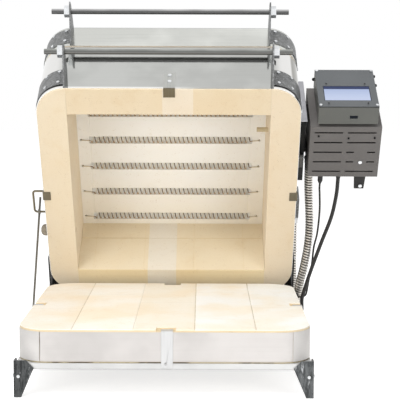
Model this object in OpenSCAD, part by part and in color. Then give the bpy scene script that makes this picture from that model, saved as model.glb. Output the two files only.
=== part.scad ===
// Bead annealing kiln, a three-part clamshell on a low stand.
// A brick floor slab carries a hinged shell. The shell is a square ring of brick walls
// with a brick lid on it. The lid holds the heating elements and opens on its own hinge.
// The rest pose has the shell propped open and the lid shut on the ring.

/* [Body] */
// Width and depth of the kiln over its steel
side = 552; // [520:1:580]
// Radius of the upright corners over the steel
corner_r = 62; // [50:1:66]
// Thickness of the steel jacket
skin_t = 1.2; // [0.8:0.1:1.5]
// Thickness of the fire brick in the floor, the walls and the lid
brick_t = 63.5; // [60:0.5:66]
// Height of the ring of brick walls
ring_h = 170; // [165:1:175]
// Depth of the lid from its hot face to its back
lid_h = 78; // [76:1:82]
// Width of one fire brick
brick_w = 114.3; // [110:0.1:120]

/* [Opening] */
// How far the shell stands open in the rest pose, in degrees
open_angle = 57.7; // [54:0.1:60]
// Gap between the floor slab and the shell when it is shut
face_gap = 0.5; // [0.3:0.1:1]
// Gap between the ring and the lid
lid_gap = 0.4; // [0.2:0.1:0.8]
// Height of the shell hinge above the bench
hinge_z = 79; // [77:0.5:81]
// Diameter of the shell hinge bolts
hinge_bolt_d = 10; // [8:0.5:11]
// Diameter of the lid hinge rod
lid_rod_d = 10; // [8:0.5:11]
// Radial running clearance in every hinge
running_gap = 0.05; // [0.02:0.01:0.09]

/* [Stand] */
// Height of the slab's underside above the bench
slab_bottom = 64.5; // [63:0.5:66]
// Height of the stand rails
rail_h = 12; // [10:0.5:14]
// Thickness of the legs and rails
leg_t = 3; // [2:0.5:3]

/* [Handles] */
// Diameter of the two handle rods
handle_d = 11.5; // [10:0.5:13]
// Distance of the handle rods from the front wall
handle_reach = 60; // [50:1:66]
// Half the distance between the handle plates
handle_plate_x = 215; // [210:1:218]
// How far a handle rod runs past its plates
handle_end = 40; // [30:1:47]

/* [Heating elements] */
// Number of element rows in the lid
element_rows = 6; // [3:1:6]
// Distance of the first element row from the chamber's rear wall
element_rear = 22.5; // [18:0.5:26]
// Distance of the last element row from the chamber's front wall
element_front = 37.5; // [30:0.5:42]
// Diameter of an element coil over its wire
coil_d = 17.5; // [15:0.5:18]
// Diameter of the element wire
wire_d = 2.6; // [2:0.1:3]

/* [Controls] */
// Width of the vented relay box
box_w = 150; // [146:1:156]
// Length of the relay box along the ring's face
box_l = 129; // [126:1:134]
// Depth of the relay box
box_deep = 150; // [140:1:154]
// Width of the controller housing
controller_w = 125; // [120:1:128]
// Length of the controller housing along the ring's face
controller_l = 43; // [40:1:46]

/* [Cords] */
// Diameter of the ribbed metal conduit
conduit_d = 19; // [18:0.5:20]
// Diameter of the mains cord
mains_d = 8.4; // [8:0.1:8.6]
// Diameter of the sensor cable
sensor_d = 4.4; // [4:0.1:4.6]

/* [Hidden] */
$fn = 48;
half = side / 2;
slab_top = slab_bottom + brick_t;
hinge_y = half - 2;
hinge_d = hinge_z - slab_top - face_gap;
chamber = half - brick_t;
brick_half = half - skin_t;
jacket_top = ring_h - 7;
lid_d = ring_h + lid_gap;
lid_top = lid_d + lid_h;
lid_axis_y = half + 16;
lid_axis_d = lid_d + 4.1;
plate_gap = 1;
ring_plate_x = half + plate_gap;
base_plate_x = ring_plate_x + leg_t + 1;
lug_r = hinge_bolt_d / 2 + 9;
strap_t = 1.5;
strap_w = 22;
notch_w = 37;
notch_deep = 4;
handle_half = handle_plate_x + handle_end;
handle_ring_d = 47;
handle_lid_d = lid_d + 42.6;
coil_r = coil_d / 2 - wire_d / 2;
coil_x0 = -182;
coil_x1 = 178;
element_u0 = brick_t + element_rear;
element_pitch = (2 * chamber - element_rear - element_front) / max(1, element_rows - 1);
box_x = half + 21;
box_u = 330;
box_top = box_u + box_l;
controller_x = box_x + 15;
controller_u = box_top + 7;
controller_top = controller_u + controller_l;
plug_u = 164;
plug_d = 20;
plug_x = -(half + 0.5);
prop_u = 222;
prop_d = 12;
prop_x = -(half + 14);
wire_r = 2.3;
conduit_r = conduit_d / 2;
mains_r = mains_d / 2;
sensor_r = sensor_d / 2;
conduit_x = half + 30;
conduit_gd = 75;
mains_x = half + 91;
mains_gd = 32;
sensor_x = half + 52;
sensor_gd = 32;
terminal_x = half + 10;
// The origin is the middle of the whole part's bounds, seen from above.
left_reach = half + 24;
right_reach = box_x + box_w;
rear_reach = hinge_y + (half - hinge_y) * cos(open_angle) + (lid_top - hinge_d) * sin(open_angle);
origin_x = (right_reach - left_reach) / 2;
origin_y = (rear_reach - half - leg_t - 2.5) / 2;

// Where a point given in the shut shell's own frame is in the rest pose.
function shell_pt(x, u, d) = [
  x,
  hinge_y + (half - u - hinge_y) * cos(open_angle) + (d - hinge_d) * sin(open_angle),
  hinge_z - (half - u - hinge_y) * sin(open_angle) + (d - hinge_d) * cos(open_angle)
];
// The way from the front of the ring towards its rear edge, in the rest pose.
down_face = [0, cos(open_angle), -sin(open_angle)];

// Coil of the mains cord on the bench: in on the lower layer, out on the upper one.
coil_mid = [232, 396, 0];
coil_turns = 2.25;
coil_step = mains_d + 0.7;
coil_in = 34;
coil_out = coil_in + coil_turns * coil_step;
coil_rise = mains_d + 0.6;
coil_n = 24;
coil_lower = [for (i = [0 : coil_turns * coil_n])
  let (a = -360 * i / coil_n, r = coil_out - coil_step * i / coil_n)
  coil_mid + [r * cos(a), r * -sin(a), mains_r + 0.1]];
coil_a1 = 360 * coil_turns;
coil_climb = [for (i = [1 : coil_n / 2])
  let (a = coil_a1 + 360 * i / coil_n, t = i / (coil_n / 2),
    r = coil_in - coil_step / 4 * sin(180 * t))
  coil_mid + [r * cos(a), r * sin(a),
    mains_r + 0.1 + coil_rise * (1 - cos(180 * t)) / 2]];
coil_a2 = coil_a1 + 180;
coil_upper = [for (i = [1 : coil_turns * coil_n])
  let (a = coil_a2 + 360 * i / coil_n, r = coil_in + coil_step * i / coil_n)
  coil_mid + [r * cos(a), r * sin(a), mains_r + 0.1 + coil_rise]];
coil_a3 = coil_a2 + 360 * coil_turns;
coil_tail_dir = [-sin(coil_a3), cos(coil_a3), 0];
coil_first = coil_lower[0] - [0, mains_d, 0];
coil_last = coil_upper[len(coil_upper) - 1] + mains_d * coil_tail_dir;
coil_pts = concat([coil_first], coil_lower, coil_climb, coil_upper, [coil_last]);
// Least gap of the coil's tube to itself, between points more than a third of a turn apart.
coil_gap = min([for (i = [0 : len(coil_pts) - 1]) for (j = [i + 8 : 1 : len(coil_pts) - 1])
  norm(coil_pts[i] - coil_pts[j])]) - mains_d;
echo(coil_gap = coil_gap);

// Cord points in the rest pose, from the middle of the kiln's floor at bench height.
conduit_start = shell_pt(conduit_x, box_u - 16, conduit_gd);
lid_gland_u = 62;
lid_gland_d = lid_d + 26;
lid_gland_pt = shell_pt(terminal_x + 3, lid_gland_u, lid_gland_d);
conduit_end = lid_gland_pt - [0, 0, 14];
conduit_pts = [
  conduit_start,
  conduit_start + 20 * down_face,
  [307, 239, 358],
  [309, 249, 324],
  [312, 258, 270],
  [310, 268, 220],
  [302, 283, 165],
  [296, 292, 137],
  [292, 303, 110],
  [291, 319, 87],
  [291, 346, 69],
  [290, 373, 64],
  [289, 399, 69],
  [289, 427, 87],
  [289, 445, 115],
  [289, conduit_end[1], 142],
  [289, conduit_end[1], 170],
  [289, conduit_end[1], conduit_end[2] - 49],
  conduit_end - [0, 0, 20],
  conduit_end
];
mains_start = shell_pt(mains_x, box_u - 26, mains_gd);
cord_x = base_plate_x + 17;
mains_upper_pts = [
  mains_start,
  mains_start + 12 * down_face,
  [366, 205, 337],
  [358, 229, 286],
  [339, 249, 228],
  [318, 264, 164],
  [304, 271, 118],
  [cord_x, hinge_y, 96],
  [cord_x, hinge_y, hinge_z + 0.1]
];
mains_lower_pts = [
  [cord_x, hinge_y, hinge_z - mains_r - 0.2],
  [cord_x, hinge_y, 60],
  [cord_x + 1, 277, 38],
  [cord_x + 2, 291, 14],
  [cord_x + 3, 314, mains_r + 0.3],
  [cord_x - 2, 340, mains_r + 0.1],
  [coil_mid[0] + coil_out, coil_mid[1] - 24, mains_r + 0.1],
  [coil_mid[0] + coil_out, coil_mid[1] - mains_d, mains_r + 0.1]
];
sensor_start = shell_pt(sensor_x, box_u - 42, sensor_gd);
switch_pt = shell_pt(ring_plate_x + leg_t + 10, 7, -27);
sensor_pts = [
  sensor_start,
  sensor_start + 14 * down_face,
  [329, 201, 338],
  [330, 210, 300],
  [327, 228, 250],
  [322, 256, 214],
  [320, 281, 170],
  [314, 290, 132],
  [310, 290, 108],
  [307, 290, 99],
  switch_pt + [9, 0, 0.2],
  switch_pt + [0.2, 0, 0]
];

// Sweeps: a smooth line through chosen points, and a ring of corners on each of its points.
function unit(v) = v / norm(v);
function curve_pt(a, b, c, d, t) = 0.5 * ((2 * b) + (c - a) * t
  + (2 * a - 5 * b + 4 * c - d) * t * t + (3 * b - a - 3 * c + d) * t * t * t);
function curve(p, step) = concat([for (i = [0 : len(p) - 2])
  let (n = max(1, round(norm(p[i + 1] - p[i]) / step)),
    a = i == 0 ? 2 * p[0] - p[1] : p[i - 1],
    d = i == len(p) - 2 ? 2 * p[i + 1] - p[i] : p[i + 2])
  for (k = [0 : n - 1]) curve_pt(a, p[i], p[i + 1], d, k / n)], [p[len(p) - 1]]);
function tangents(p) = [for (i = [0 : len(p) - 1])
  unit(p[min(i + 1, len(p) - 1)] - p[max(i - 1, 0)])];
function normals(tan, start) = [for (i = 0, n = unit(start - (start * tan[0]) * tan[0]);
  i < len(tan);
  i = i + 1,
  n = i < len(tan) ? unit(n - (n * tan[i]) * tan[i]) : n) n];
function loop_pts(c, t, n, r, sides) = [for (k = [0 : sides - 1])
  c + r * (cos(360 * k / sides) * n + sin(360 * k / sides) * cross(t, n))];
function band_faces(a, b, sides, out) = [for (k = [0 : sides - 1])
  let (m = (k + 1) % sides)
  each (out ? [[a + k, a + m, b + m], [a + k, b + m, b + k]]
    : [[a + k, b + m, a + m], [a + k, b + k, b + m]])];
module sweep(p, radii, sides, start) {
  tan = tangents(p);
  nor = normals(tan, start);
  n = len(p);
  pts = [for (i = [0 : n - 1]) each loop_pts(p[i], tan[i], nor[i], radii[i], sides)];
  faces = concat(
    [[for (k = [0 : sides - 1]) sides - 1 - k]],
    [for (i = [0 : n - 2]) each band_faces(i * sides, (i + 1) * sides, sides, true)],
    [[for (k = [0 : sides - 1]) (n - 1) * sides + k]]);
  polyhedron(points = pts, faces = [for (f = faces) [for (k = [len(f) - 1 : -1 : 0]) f[k]]]);
}
module cord(p, r, sides, start) {
  sweep(p, [for (q = p) r], sides, start);
}
// A ribbed tube with its bore: two rings to a rib outside, one ring to four ribs inside.
module ribbed_hose(p, r_top, r_low, r_bore, sides, start) {
  tan = tangents(p);
  nor = normals(tan, start);
  n = len(p);
  inner = concat([for (i = [0 : 4 : n - 2]) i], [n - 1]);
  m = len(inner);
  pts = concat(
    [for (i = [0 : n - 1]) each loop_pts(p[i], tan[i], nor[i], i % 2 == 0 ? r_low : r_top, sides)],
    [for (i = inner) each loop_pts(p[i], tan[i], nor[i], r_bore, sides)]);
  faces = concat(
    [for (i = [0 : n - 2]) each band_faces(i * sides, (i + 1) * sides, sides, true)],
    [for (i = [0 : m - 2]) each band_faces((n + i) * sides, (n + i + 1) * sides, sides, false)],
    band_faces(0, n * sides, sides, false),
    band_faces((n - 1) * sides, (n + m - 1) * sides, sides, true));
  polyhedron(points = pts, faces = [for (f = faces) [for (k = [len(f) - 1 : -1 : 0]) f[k]]]);
}

// Placing helpers.
module row() {
  translate([-origin_x, -origin_y, 0]) children();
}
module in_shell() {
  row() translate([0, hinge_y, hinge_z]) rotate([-open_angle, 0, 0])
    translate([0, -hinge_y, -hinge_d]) children();
}
// A block by its limits across, from the rear edge forward, and away from the ring's face.
module block(x0, x1, u0, u1, d0, d1) {
  translate([x0, half - u1, d0]) cube([x1 - x0, u1 - u0, d1 - d0]);
}
module both_sides() {
  children();
  mirror([1, 0, 0]) children();
}
module plan(s, r) {
  square([2 * s - 2 * r, 2 * s], center = true);
  square([2 * s, 2 * s - 2 * r], center = true);
  for (x = [-1, 1]) for (y = [-1, 1]) translate([x * (s - r), y * (s - r)]) circle(r);
}
module jacket(d0, d1, s, r, t) {
  translate([0, 0, d0]) linear_extrude(d1 - d0) difference() {
    plan(s, r);
    plan(s - t, r - t);
  }
}
// A plate in the plane of depth and height, from x0 to x1.
module side_plate(x0, x1) {
  translate([x0, 0, 0]) rotate([90, 0, 90]) linear_extrude(x1 - x0) children();
}
module x_rod(x0, x1, y, z, r) {
  translate([x0, y, z]) rotate([0, 90, 0]) cylinder(h = x1 - x0, r = r);
}
module groove_y(x, y0, y1, z) {
  translate([x, y0, z]) rotate([0, 45, 0]) translate([-0.8, 0, -0.8]) cube([1.6, y1 - y0, 1.6]);
}
module groove_x(x0, x1, y, z) {
  translate([x0, y, z]) rotate([45, 0, 0]) translate([0, -0.8, -0.8]) cube([x1 - x0, 1.6, 1.6]);
}
// A pan-head screw whose head stands on the plane z = 0.
module screw(head_d, head_h, shank_l) {
  cylinder(h = head_h, r = head_d / 2, $fn = 24);
  translate([0, 0, -shank_l]) cylinder(h = shank_l + 0.1, r = head_d / 4, $fn = 24);
}

// Floor and stand.
module floor_bricks() {
  color([0.93, 0.87, 0.75]) row() difference() {
    translate([0, 0, slab_bottom]) linear_extrude(brick_t) plan(brick_half, corner_r - skin_t);
    for (i = [-1.5, -0.5, 0.5, 1.5])
      groove_y(i * brick_w, -half, half, slab_top);
    translate([-14.6, -half - 1, slab_top - notch_deep]) cube([notch_w, 26, notch_deep + 1]);
    translate([-14.6, half - 25, slab_top - notch_deep]) cube([notch_w, 26, notch_deep + 1]);
    both_sides() translate([half - 25, 1 - notch_w / 2, slab_top - notch_deep])
      cube([26, notch_w, notch_deep + 1]);
  }
}
module band_half_space(front) {
  if (front)
    translate([-231, -half - 5, 0]) cube([471, 12, 200]);
  else
    difference() {
      translate([-half - 5, -half - 5, 0]) cube([side + 10, side + 10, 200]);
      translate([-231.6, -half - 6, 0]) cube([472.2, 14, 200]);
    }
}
module base_band() {
  color([0.72, 0.73, 0.74]) row() intersection() {
    jacket(slab_bottom + 2.5, slab_top - 5, half, corner_r, skin_t);
    band_half_space(false);
  }
}
module base_band_front() {
  color([0.78, 0.79, 0.80]) row() intersection() {
    jacket(slab_bottom + 2.5, slab_top - 5, half, corner_r, skin_t);
    band_half_space(true);
  }
}
module rim_strap() {
  z0 = slab_bottom - rail_h + 3.5;
  z1 = slab_top - notch_deep + 0.1;
  translate([-strap_w / 2, 0, 0]) difference() {
    union() {
      translate([0, -half - strap_t, z0]) cube([strap_w, strap_t, z1 + strap_t - z0]);
      translate([0, -half - strap_t, z1]) cube([strap_w, 20, strap_t]);
    }
    translate([8.5, -half + 1, slab_bottom - 1]) rotate([90, 0, 0]) cylinder(h = 5, r = 2.5);
  }
}
module rim_straps() {
  color([0.75, 0.76, 0.77]) row() {
    translate([6, 0, 0]) rim_strap();
    both_sides() translate([0, 1, 0]) rotate([0, 0, 90]) rim_strap();
  }
}
module rail(length) {
  z0 = slab_bottom - rail_h;
  translate([-length / 2, -half, z0]) cube([length, leg_t, rail_h]);
  translate([-length / 2, -half, slab_bottom - leg_t]) cube([length, 26, leg_t]);
}
module stand_frame() {
  color([0.60, 0.61, 0.62]) row() {
    rail(side);
    rotate([0, 0, 180]) rail(side);
    rotate([0, 0, 90]) rail(side - 52);
    rotate([0, 0, -90]) rail(side - 52);
  }
}
module leg_flange(top_z) {
  s = half + leg_t;
  translate([0, -half, 0]) rotate([90, 0, 0]) linear_extrude(leg_t) difference() {
    polygon([[-s, 0], [-s, top_z], [-half + 20.5, top_z], [-half + 34.5, top_z - 15], [-half + 11, 0]]);
    translate([-half + 6, 40]) circle(1.6, $fn = 24);
  }
}
module leg(top_z) {
  leg_flange(top_z);
  mirror([1, -1, 0]) leg_flange(top_z);
}
module front_legs() {
  color([0.62, 0.63, 0.64]) row() both_sides() leg(slab_bottom + 5.5);
}
module rear_legs() {
  color([0.62, 0.63, 0.64]) row() mirror([0, 1, 0]) both_sides() leg(slab_bottom - 2.5);
}
// Screw and nut in a leg flange, head outside.
module leg_screw() {
  translate([-half + 6, -half - leg_t, 40]) rotate([90, 0, 0]) screw(6, 2.5, leg_t + 3.5);
  translate([-half + 6, -half, 40]) rotate([-90, 0, 0]) cylinder(h = 2.5, r = 3.2, $fn = 6);
}
module stand_screws() {
  color([0.82, 0.83, 0.84]) row() for (my = [0, 1]) mirror([0, my, 0]) both_sides() {
    leg_screw();
    mirror([1, -1, 0]) leg_screw();
  }
}
module base_hinge_plate() {
  difference() {
    union() {
      side_plate(base_plate_x, base_plate_x + leg_t)
        polygon([[180, 54], [180, 68], [250, 88], [268, hinge_z + lug_r - 1.5],
          [280, hinge_z + lug_r - 1.5], [hinge_y + lug_r - 1, hinge_z], [hinge_y + 10, 56], [260, 54]]);
      x_rod(base_plate_x, base_plate_x + leg_t, hinge_y, hinge_z, lug_r);
      translate([half, 184, 54]) cube([base_plate_x - half + 0.1, 44, 8]);
    }
    x_rod(base_plate_x - 1, base_plate_x + leg_t + 1, hinge_y, hinge_z, hinge_bolt_d / 2 + running_gap);
  }
}
module base_hinge_plates() {
  color([0.14, 0.14, 0.15]) row() both_sides() base_hinge_plate();
}
module hinge_bolts() {
  x1 = base_plate_x + leg_t;
  color([0.80, 0.81, 0.82]) row() both_sides() {
    x_rod(half + 0.3, x1 + 0.5, hinge_y, hinge_z, hinge_bolt_d / 2);
    translate([x1, hinge_y, hinge_z]) rotate([0, 90, 0])
      cylinder(h = 6, r = hinge_bolt_d * 0.92, $fn = 6);
  }
}
catch_top = slab_bottom + 28.4;
catch_y = 76;
catch_w = 24;
catch_reach = 22;
catch_t = 3;
module prop_catch() {
  color([0.60, 0.61, 0.62]) row() {
    translate([-half - catch_reach, catch_y, catch_top - catch_t]) cube([catch_reach, catch_w, catch_t]);
    translate([-half - catch_t, catch_y, catch_top - 21]) cube([catch_t, catch_w, 21 - catch_t + 0.1]);
  }
}

// Mains cord, lower part, on the base side of the hinge.
module mains_cord_lower() {
  color([0.08, 0.08, 0.08]) row() cord(curve(mains_lower_pts, 16), mains_r, 8, [1, 0, 0]);
}
module mains_coil() {
  color([0.08, 0.08, 0.08]) row() cord(coil_pts, mains_r, 6, [0, 0, 1]);
}
plug_a = coil_a3 + 90;
module mains_plug() {
  color([0.10, 0.10, 0.10]) row() translate(coil_last + 0.1 * coil_tail_dir)
    rotate([0, 0, plug_a]) rotate([0, 90, 0]) {
      cylinder(h = 26, r1 = mains_r + 0.4, r2 = 6.5);
      translate([0, 0, 25.9]) cylinder(h = 26, r = 13);
      for (y = [-6.3, 6.3]) translate([-3.2, y - 0.8, 51.8]) cube([6.4, 1.6, 17]);
    }
}

// Ring of brick walls.
module wall_side() {
  intersection() {
    linear_extrude(ring_h) plan(brick_half, corner_r - skin_t);
    translate([chamber + 0.1, -half, 0]) cube([brick_t, side, ring_h]);
  }
}
module wall_grooves(x) {
  for (u = [brick_t + brick_w, brick_t + 2 * brick_w, brick_t + 3 * brick_w])
    translate([x, half - u, 0]) rotate([0, 0, 45]) translate([-0.8, -0.8, -1]) cube([1.6, 1.6, ring_h + 2]);
  groove_y(x, -chamber, chamber, brick_w);
}
module wall_left() {
  color([0.92, 0.86, 0.74]) in_shell() difference() {
    mirror([1, 0, 0]) wall_side();
    wall_grooves(-chamber - 0.1);
    x_rod(-half - 1, -chamber + 1, half - plug_u, plug_d, 8.5);
  }
}
module wall_right() {
  color([0.92, 0.86, 0.74]) in_shell() difference() {
    wall_side();
    wall_grooves(chamber + 0.1);
    x_rod(chamber - 1, half + 1, half - 400, 76, 5.3);
  }
}
module wall_end() {
  difference() {
    translate([-chamber, -brick_half, 0]) cube([2 * chamber, brick_half - chamber, ring_h]);
    groove_x(-chamber - 1, chamber + 1, -chamber, brick_w);
    for (x = [-1.5, -0.5, 0.5, 1.5])
      translate([x * brick_w - 6, -chamber, 0]) rotate([0, 0, 45])
        translate([-0.35, -0.35, -1]) cube([0.7, 0.7, ring_h + 2]);
  }
}
module wall_front() {
  color([0.94, 0.88, 0.76]) in_shell() wall_end();
}
module wall_rear() {
  color([0.94, 0.88, 0.76]) in_shell() mirror([0, 1, 0]) wall_end();
}
module ring_jacket() {
  color([0.76, 0.77, 0.78]) in_shell() difference() {
    jacket(2.5, jacket_top, half, corner_r, skin_t);
    x_rod(-half - 1, -half + 5, half - plug_u, plug_d, 9);
    x_rod(half - 5, half + 1, half - 400, 76, 6);
  }
}
// A corner bracket: a strip round the corner and a gusset plate that carries the handle rod.
module corner_bracket(d0, rod_d, gusset_d0, gusset_d1) {
  front = half + handle_reach;
  difference() {
    union() {
      intersection() {
        jacket(d0, d0 + 57, half + strap_t, corner_r + strap_t, strap_t);
        translate([handle_plate_x - 1.6, -half - 10, d0 - 1]) cube([100, 87, 60]);
      }
      side_plate(handle_plate_x - 1.5, handle_plate_x + 1.5)
        polygon([[-half - 0.5, gusset_d0], [-front - 12, rod_d - 10], [-front - 24, rod_d],
          [-front - 12, rod_d + 10], [-half - 0.5, gusset_d1]]);
    }
    x_rod(205, 225, -front, rod_d, handle_d / 2 + 0.1);
  }
}
module ring_bracket_left() {
  color([0.56, 0.57, 0.58]) in_shell() mirror([1, 0, 0]) corner_bracket(16, handle_ring_d, 3, 73);
}
module ring_bracket_right() {
  color([0.56, 0.57, 0.58]) in_shell() corner_bracket(16, handle_ring_d, 3, 73);
}
module handle_rod(d) {
  x_rod(-handle_half, handle_half, -half - handle_reach, d, handle_d / 2);
}
module handle_nuts(d) {
  both_sides() translate([handle_plate_x + 1.6, -half - handle_reach, d]) rotate([0, 90, 0])
    difference() {
      cylinder(h = 11, r = 12.8, $fn = 6);
      translate([0, 0, -1]) cylinder(h = 13, r = handle_d / 2 + 0.05);
    }
}
module ring_handle_rod() {
  color([0.52, 0.53, 0.54]) in_shell() handle_rod(handle_ring_d);
}
// Strap ends bent over onto the ring's face at the middle of three sides.
module face_clip(w, reach) {
  translate([-w / 2, -half - strap_t, -strap_t]) cube([w, strap_t, 62]);
  translate([-w / 2, -half - strap_t, -strap_t]) cube([w, reach + strap_t, strap_t]);
}
module face_clips() {
  color([0.80, 0.81, 0.82]) in_shell() {
    translate([1.5, 0, 0]) face_clip(24.3, 20);
    both_sides() translate([0, 1, 0]) rotate([0, 0, 90]) face_clip(22, 16);
  }
}
module wall_screw(d) {
  rotate([90, 0, 0]) translate([0, d, half + strap_t]) cylinder(h = 2.4, r = 4, $fn = 24);
}
// Screw heads on a corner bracket: two round the bend and one on the side.
module bracket_screws(d) {
  both_sides() {
    for (a = [13, 41]) translate([half - corner_r, -half + corner_r, d]) rotate([90, 0, a])
      translate([0, 0, corner_r + strap_t]) cylinder(h = 2.2, r = 3.5, $fn = 24);
    translate([half + strap_t, half - 482, d]) rotate([0, 90, 0]) cylinder(h = 2.2, r = 3.5, $fn = 24);
  }
}
module ring_fasteners() {
  color([0.84, 0.85, 0.86]) in_shell() {
    handle_nuts(handle_ring_d);
    for (d = [25, 48.5]) translate([2, 0, 0]) wall_screw(d);
    for (d = [24, 64]) bracket_screws(d);
    both_sides() for (p = [[40, 40], [76, 28], [76, 70]])
      translate([ring_plate_x + leg_t, half - p[0], p[1]]) rotate([0, 90, 0])
        cylinder(h = 2.6, r = 4, $fn = 24);
    for (p = [[110, 39, 4, 0], [115, -25, 4, 1.5], [18, 106, 2, 0], [81, 101, 2, 0], [136, 102, 2, 0]])
      translate([box_x + p[0], half - box_u - p[1], p[3]]) rotate([180, 0, 0])
        cylinder(h = 2.2, r = p[2], $fn = 24);
    for (p = [[4, 7], [121, 7], [4, 140], [121, 140]])
      translate([controller_x + p[0], half - controller_top, p[1]]) rotate([90, 0, 0])
        cylinder(h = 2, r = 3, $fn = 24);
  }
}
module ring_hinge_plate() {
  x1 = ring_plate_x + leg_t;
  difference() {
    union() {
      side_plate(ring_plate_x, x1)
        polygon([[hinge_y - lug_r + 1, hinge_d], [hinge_y - 10, -22], [252, -2], [188, 8], [188, 90],
          [284, 90], [284, -24], [hinge_y + lug_r - 1, hinge_d]]);
      x_rod(ring_plate_x, x1, hinge_y, hinge_d, lug_r);
      translate([half, 190, 20]) cube([plate_gap + 0.1, 22, 60]);
      translate([half - 14, 281, -20]) cube([plate_gap + leg_t + 14, 3, 110]);
    }
    x_rod(ring_plate_x - 2, x1 + 1, hinge_y, hinge_d, hinge_bolt_d / 2 + running_gap);
  }
}
module ring_hinge_plates() {
  color([0.13, 0.13, 0.14]) in_shell() both_sides() ring_hinge_plate();
}
module ring_rear_brackets() {
  color([0.56, 0.57, 0.58]) in_shell() both_sides() difference() {
    union() {
      translate([190, half, 104]) cube([40, strap_t, 54]);
      side_plate(213.5, 216.5)
        polygon([[half + 0.2, 104], [half + 0.2, 158], [lid_axis_y - 11.5, lid_axis_d - 3],
          [lid_axis_y + 10, lid_axis_d - 7], [half + 12, 112]]);
      x_rod(213.5, 216.5, lid_axis_y, lid_axis_d, 12);
    }
    x_rod(200, 230, lid_axis_y, lid_axis_d, lid_rod_d / 2 + running_gap);
  }
}
module prop_bail() {
  bar_x = -half - 24;
  bend = 6;
  low_y = half - prop_u;
  high_y = half - 279;
  color([0.55, 0.56, 0.57]) in_shell() {
    x_rod(bar_x + bend, -half, low_y, prop_d, wire_r);
    x_rod(bar_x + bend, -half - strap_t, high_y, prop_d, wire_r);
    translate([bar_x, high_y + bend, prop_d]) rotate([-90, 0, 0])
      cylinder(h = low_y - high_y - 2 * bend, r = wire_r);
    for (turn = [[low_y - bend, 90], [high_y + bend, 180]])
      translate([bar_x + bend, turn[0], prop_d]) rotate([0, 0, turn[1]])
        rotate_extrude(angle = 90) translate([bend, 0]) circle(wire_r, $fn = 24);
  }
}
module thermocouple() {
  color([0.93, 0.91, 0.86]) in_shell() {
    x_rod(188, half + 6, half - 400, 76, 5);
  }
}
module side_bushing() {
  color([0.90, 0.86, 0.80]) in_shell() {
    translate([half, half - 359, 20]) rotate([0, 90, 0]) scale(1) linear_extrude(9.5) {
      circle(9);
      square([18, 16], center = true);
      translate([0, 8]) circle(9);
      translate([0, -8]) circle(9);
    }
  }
}

// Heat shield bracket, standoff and relay box on the right of the ring.
module control_bracket() {
  color([0.74, 0.75, 0.76]) in_shell() {
    difference() {
      block(half, half + 2, 380, 469, 30, 162);
      x_rod(half - 1, half + 3, half - 400, 76, 6);
    }
    block(half, half + 14.5, 467, 469, 8, 162);
  }
}
module control_standoff() {
  color([0.16, 0.16, 0.17]) in_shell() {
    block(half + 2, half + 14, 290, 466, 40, 42);
    block(half + 12, half + 14, 290, 466, 40, 140);
    block(half + 2, half + 14, 290, 466, 138, 140);
    block(half + 2, half + 14, 460, 466, 41, 139);
    for (u = [345, 430]) block(half + 13.9, box_x, u, u + 12, 70, 110);
  }
}
vent_rows = [14, 39, 64, 89, 114];
module relay_box() {
  color([0.46, 0.46, 0.45]) in_shell() difference() {
    block(box_x, box_x + box_w, box_u, box_top, 1.6, box_deep);
    block(box_x + 1.5, box_x + box_w - 1.5, box_u + 1.5, box_top - 1.5, 0, box_deep - 1.5);
    translate([conduit_x, half - box_u, conduit_gd]) rotate([90, 0, 0])
      translate([0, 0, -1]) cylinder(h = 5, r = 7.5);
    block(box_x + 99, box_x + 126, box_u - 1, box_u + 3, 0, 5);
  }
}
module slot(x0, x1, u) {
  block(box_x + x0, box_x + x1, u - 1.7, u + 1.7, -1, 3);
}
module relay_box_cover() {
  color([0.46, 0.46, 0.45]) in_shell() difference() {
    block(box_x, box_x + box_w, box_u, box_top, 0, 1.5);
    for (r = vent_rows) slot(9, 69, box_u + r);
    for (r = [14, 89, 114]) slot(79, 139, box_u + r);
    for (r = [39, 64]) {
      slot(79, 95, box_u + r);
      slot(123, 140, box_u + r);
    }
  }
}
module relay() {
  color([0.12, 0.12, 0.13]) in_shell() {
    block(box_x + 40, box_x + 104, box_u + 26, box_u + 100, 90, box_deep - 1.6);
    block(box_x + 52, box_x + 92, box_u + 38, box_u + 88, 62, 90.1);
  }
}
module cable_tab() {
  color([0.10, 0.10, 0.11]) in_shell() {
    translate([box_x + 112.5, half - box_u, 1.5]) linear_extrude(3)
      polygon([[-12.5, -44], [-12.5, 0], [-10.5, 33], [10.5, 33], [12.5, 0], [12.5, -44]]);
  }
}
module gland_at(x, d) {
  translate([x, half - box_u, d]) rotate([-90, 0, 0]) children();
}
module cord_glands() {
  color([0.12, 0.12, 0.12]) in_shell() {
    gland_at(mains_x, mains_gd) {
      cylinder(h = 4, r = 8, $fn = 6);
      translate([0, 0, 3.9]) cylinder(h = 22, r1 = 6.4, r2 = mains_r + 0.6);
    }
    gland_at(sensor_x, sensor_gd) {
      cylinder(h = 34, r = 5.5);
      translate([0, 0, 33.9]) cylinder(h = 8, r1 = 5.5, r2 = sensor_r + 0.4);
    }
  }
}
module box_conduit_fitting() {
  color([0.80, 0.80, 0.80]) in_shell() gland_at(conduit_x, conduit_gd) difference() {
    union() {
      translate([0, 0, -8]) cylinder(h = 10, r = 7.4);
      cylinder(h = 6, r = 12, $fn = 6);
      cylinder(h = 16, r = 10.6);
    }
    translate([0, 0, -9]) cylinder(h = 30, r = 6);
  }
}
module controller_housing() {
  color([0.44, 0.45, 0.44]) in_shell() {
    difference() {
      block(controller_x, controller_x + controller_w, controller_u, controller_top - 2, 1, 146);
      block(controller_x + 2, controller_x + controller_w - 2, controller_u + 2, controller_top, 3, 144);
      block(controller_x + 65, controller_x + 82, controller_u + 13, controller_u + 21, 0, 4);
    }
    for (x = [12, 113]) for (d = [20, 128])
      translate([controller_x + x, half - controller_u - 0.5, d]) rotate([-90, 0, 0])
        cylinder(h = controller_u - box_top + 0.5, r = 5, $fn = 24);
  }
}
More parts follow.
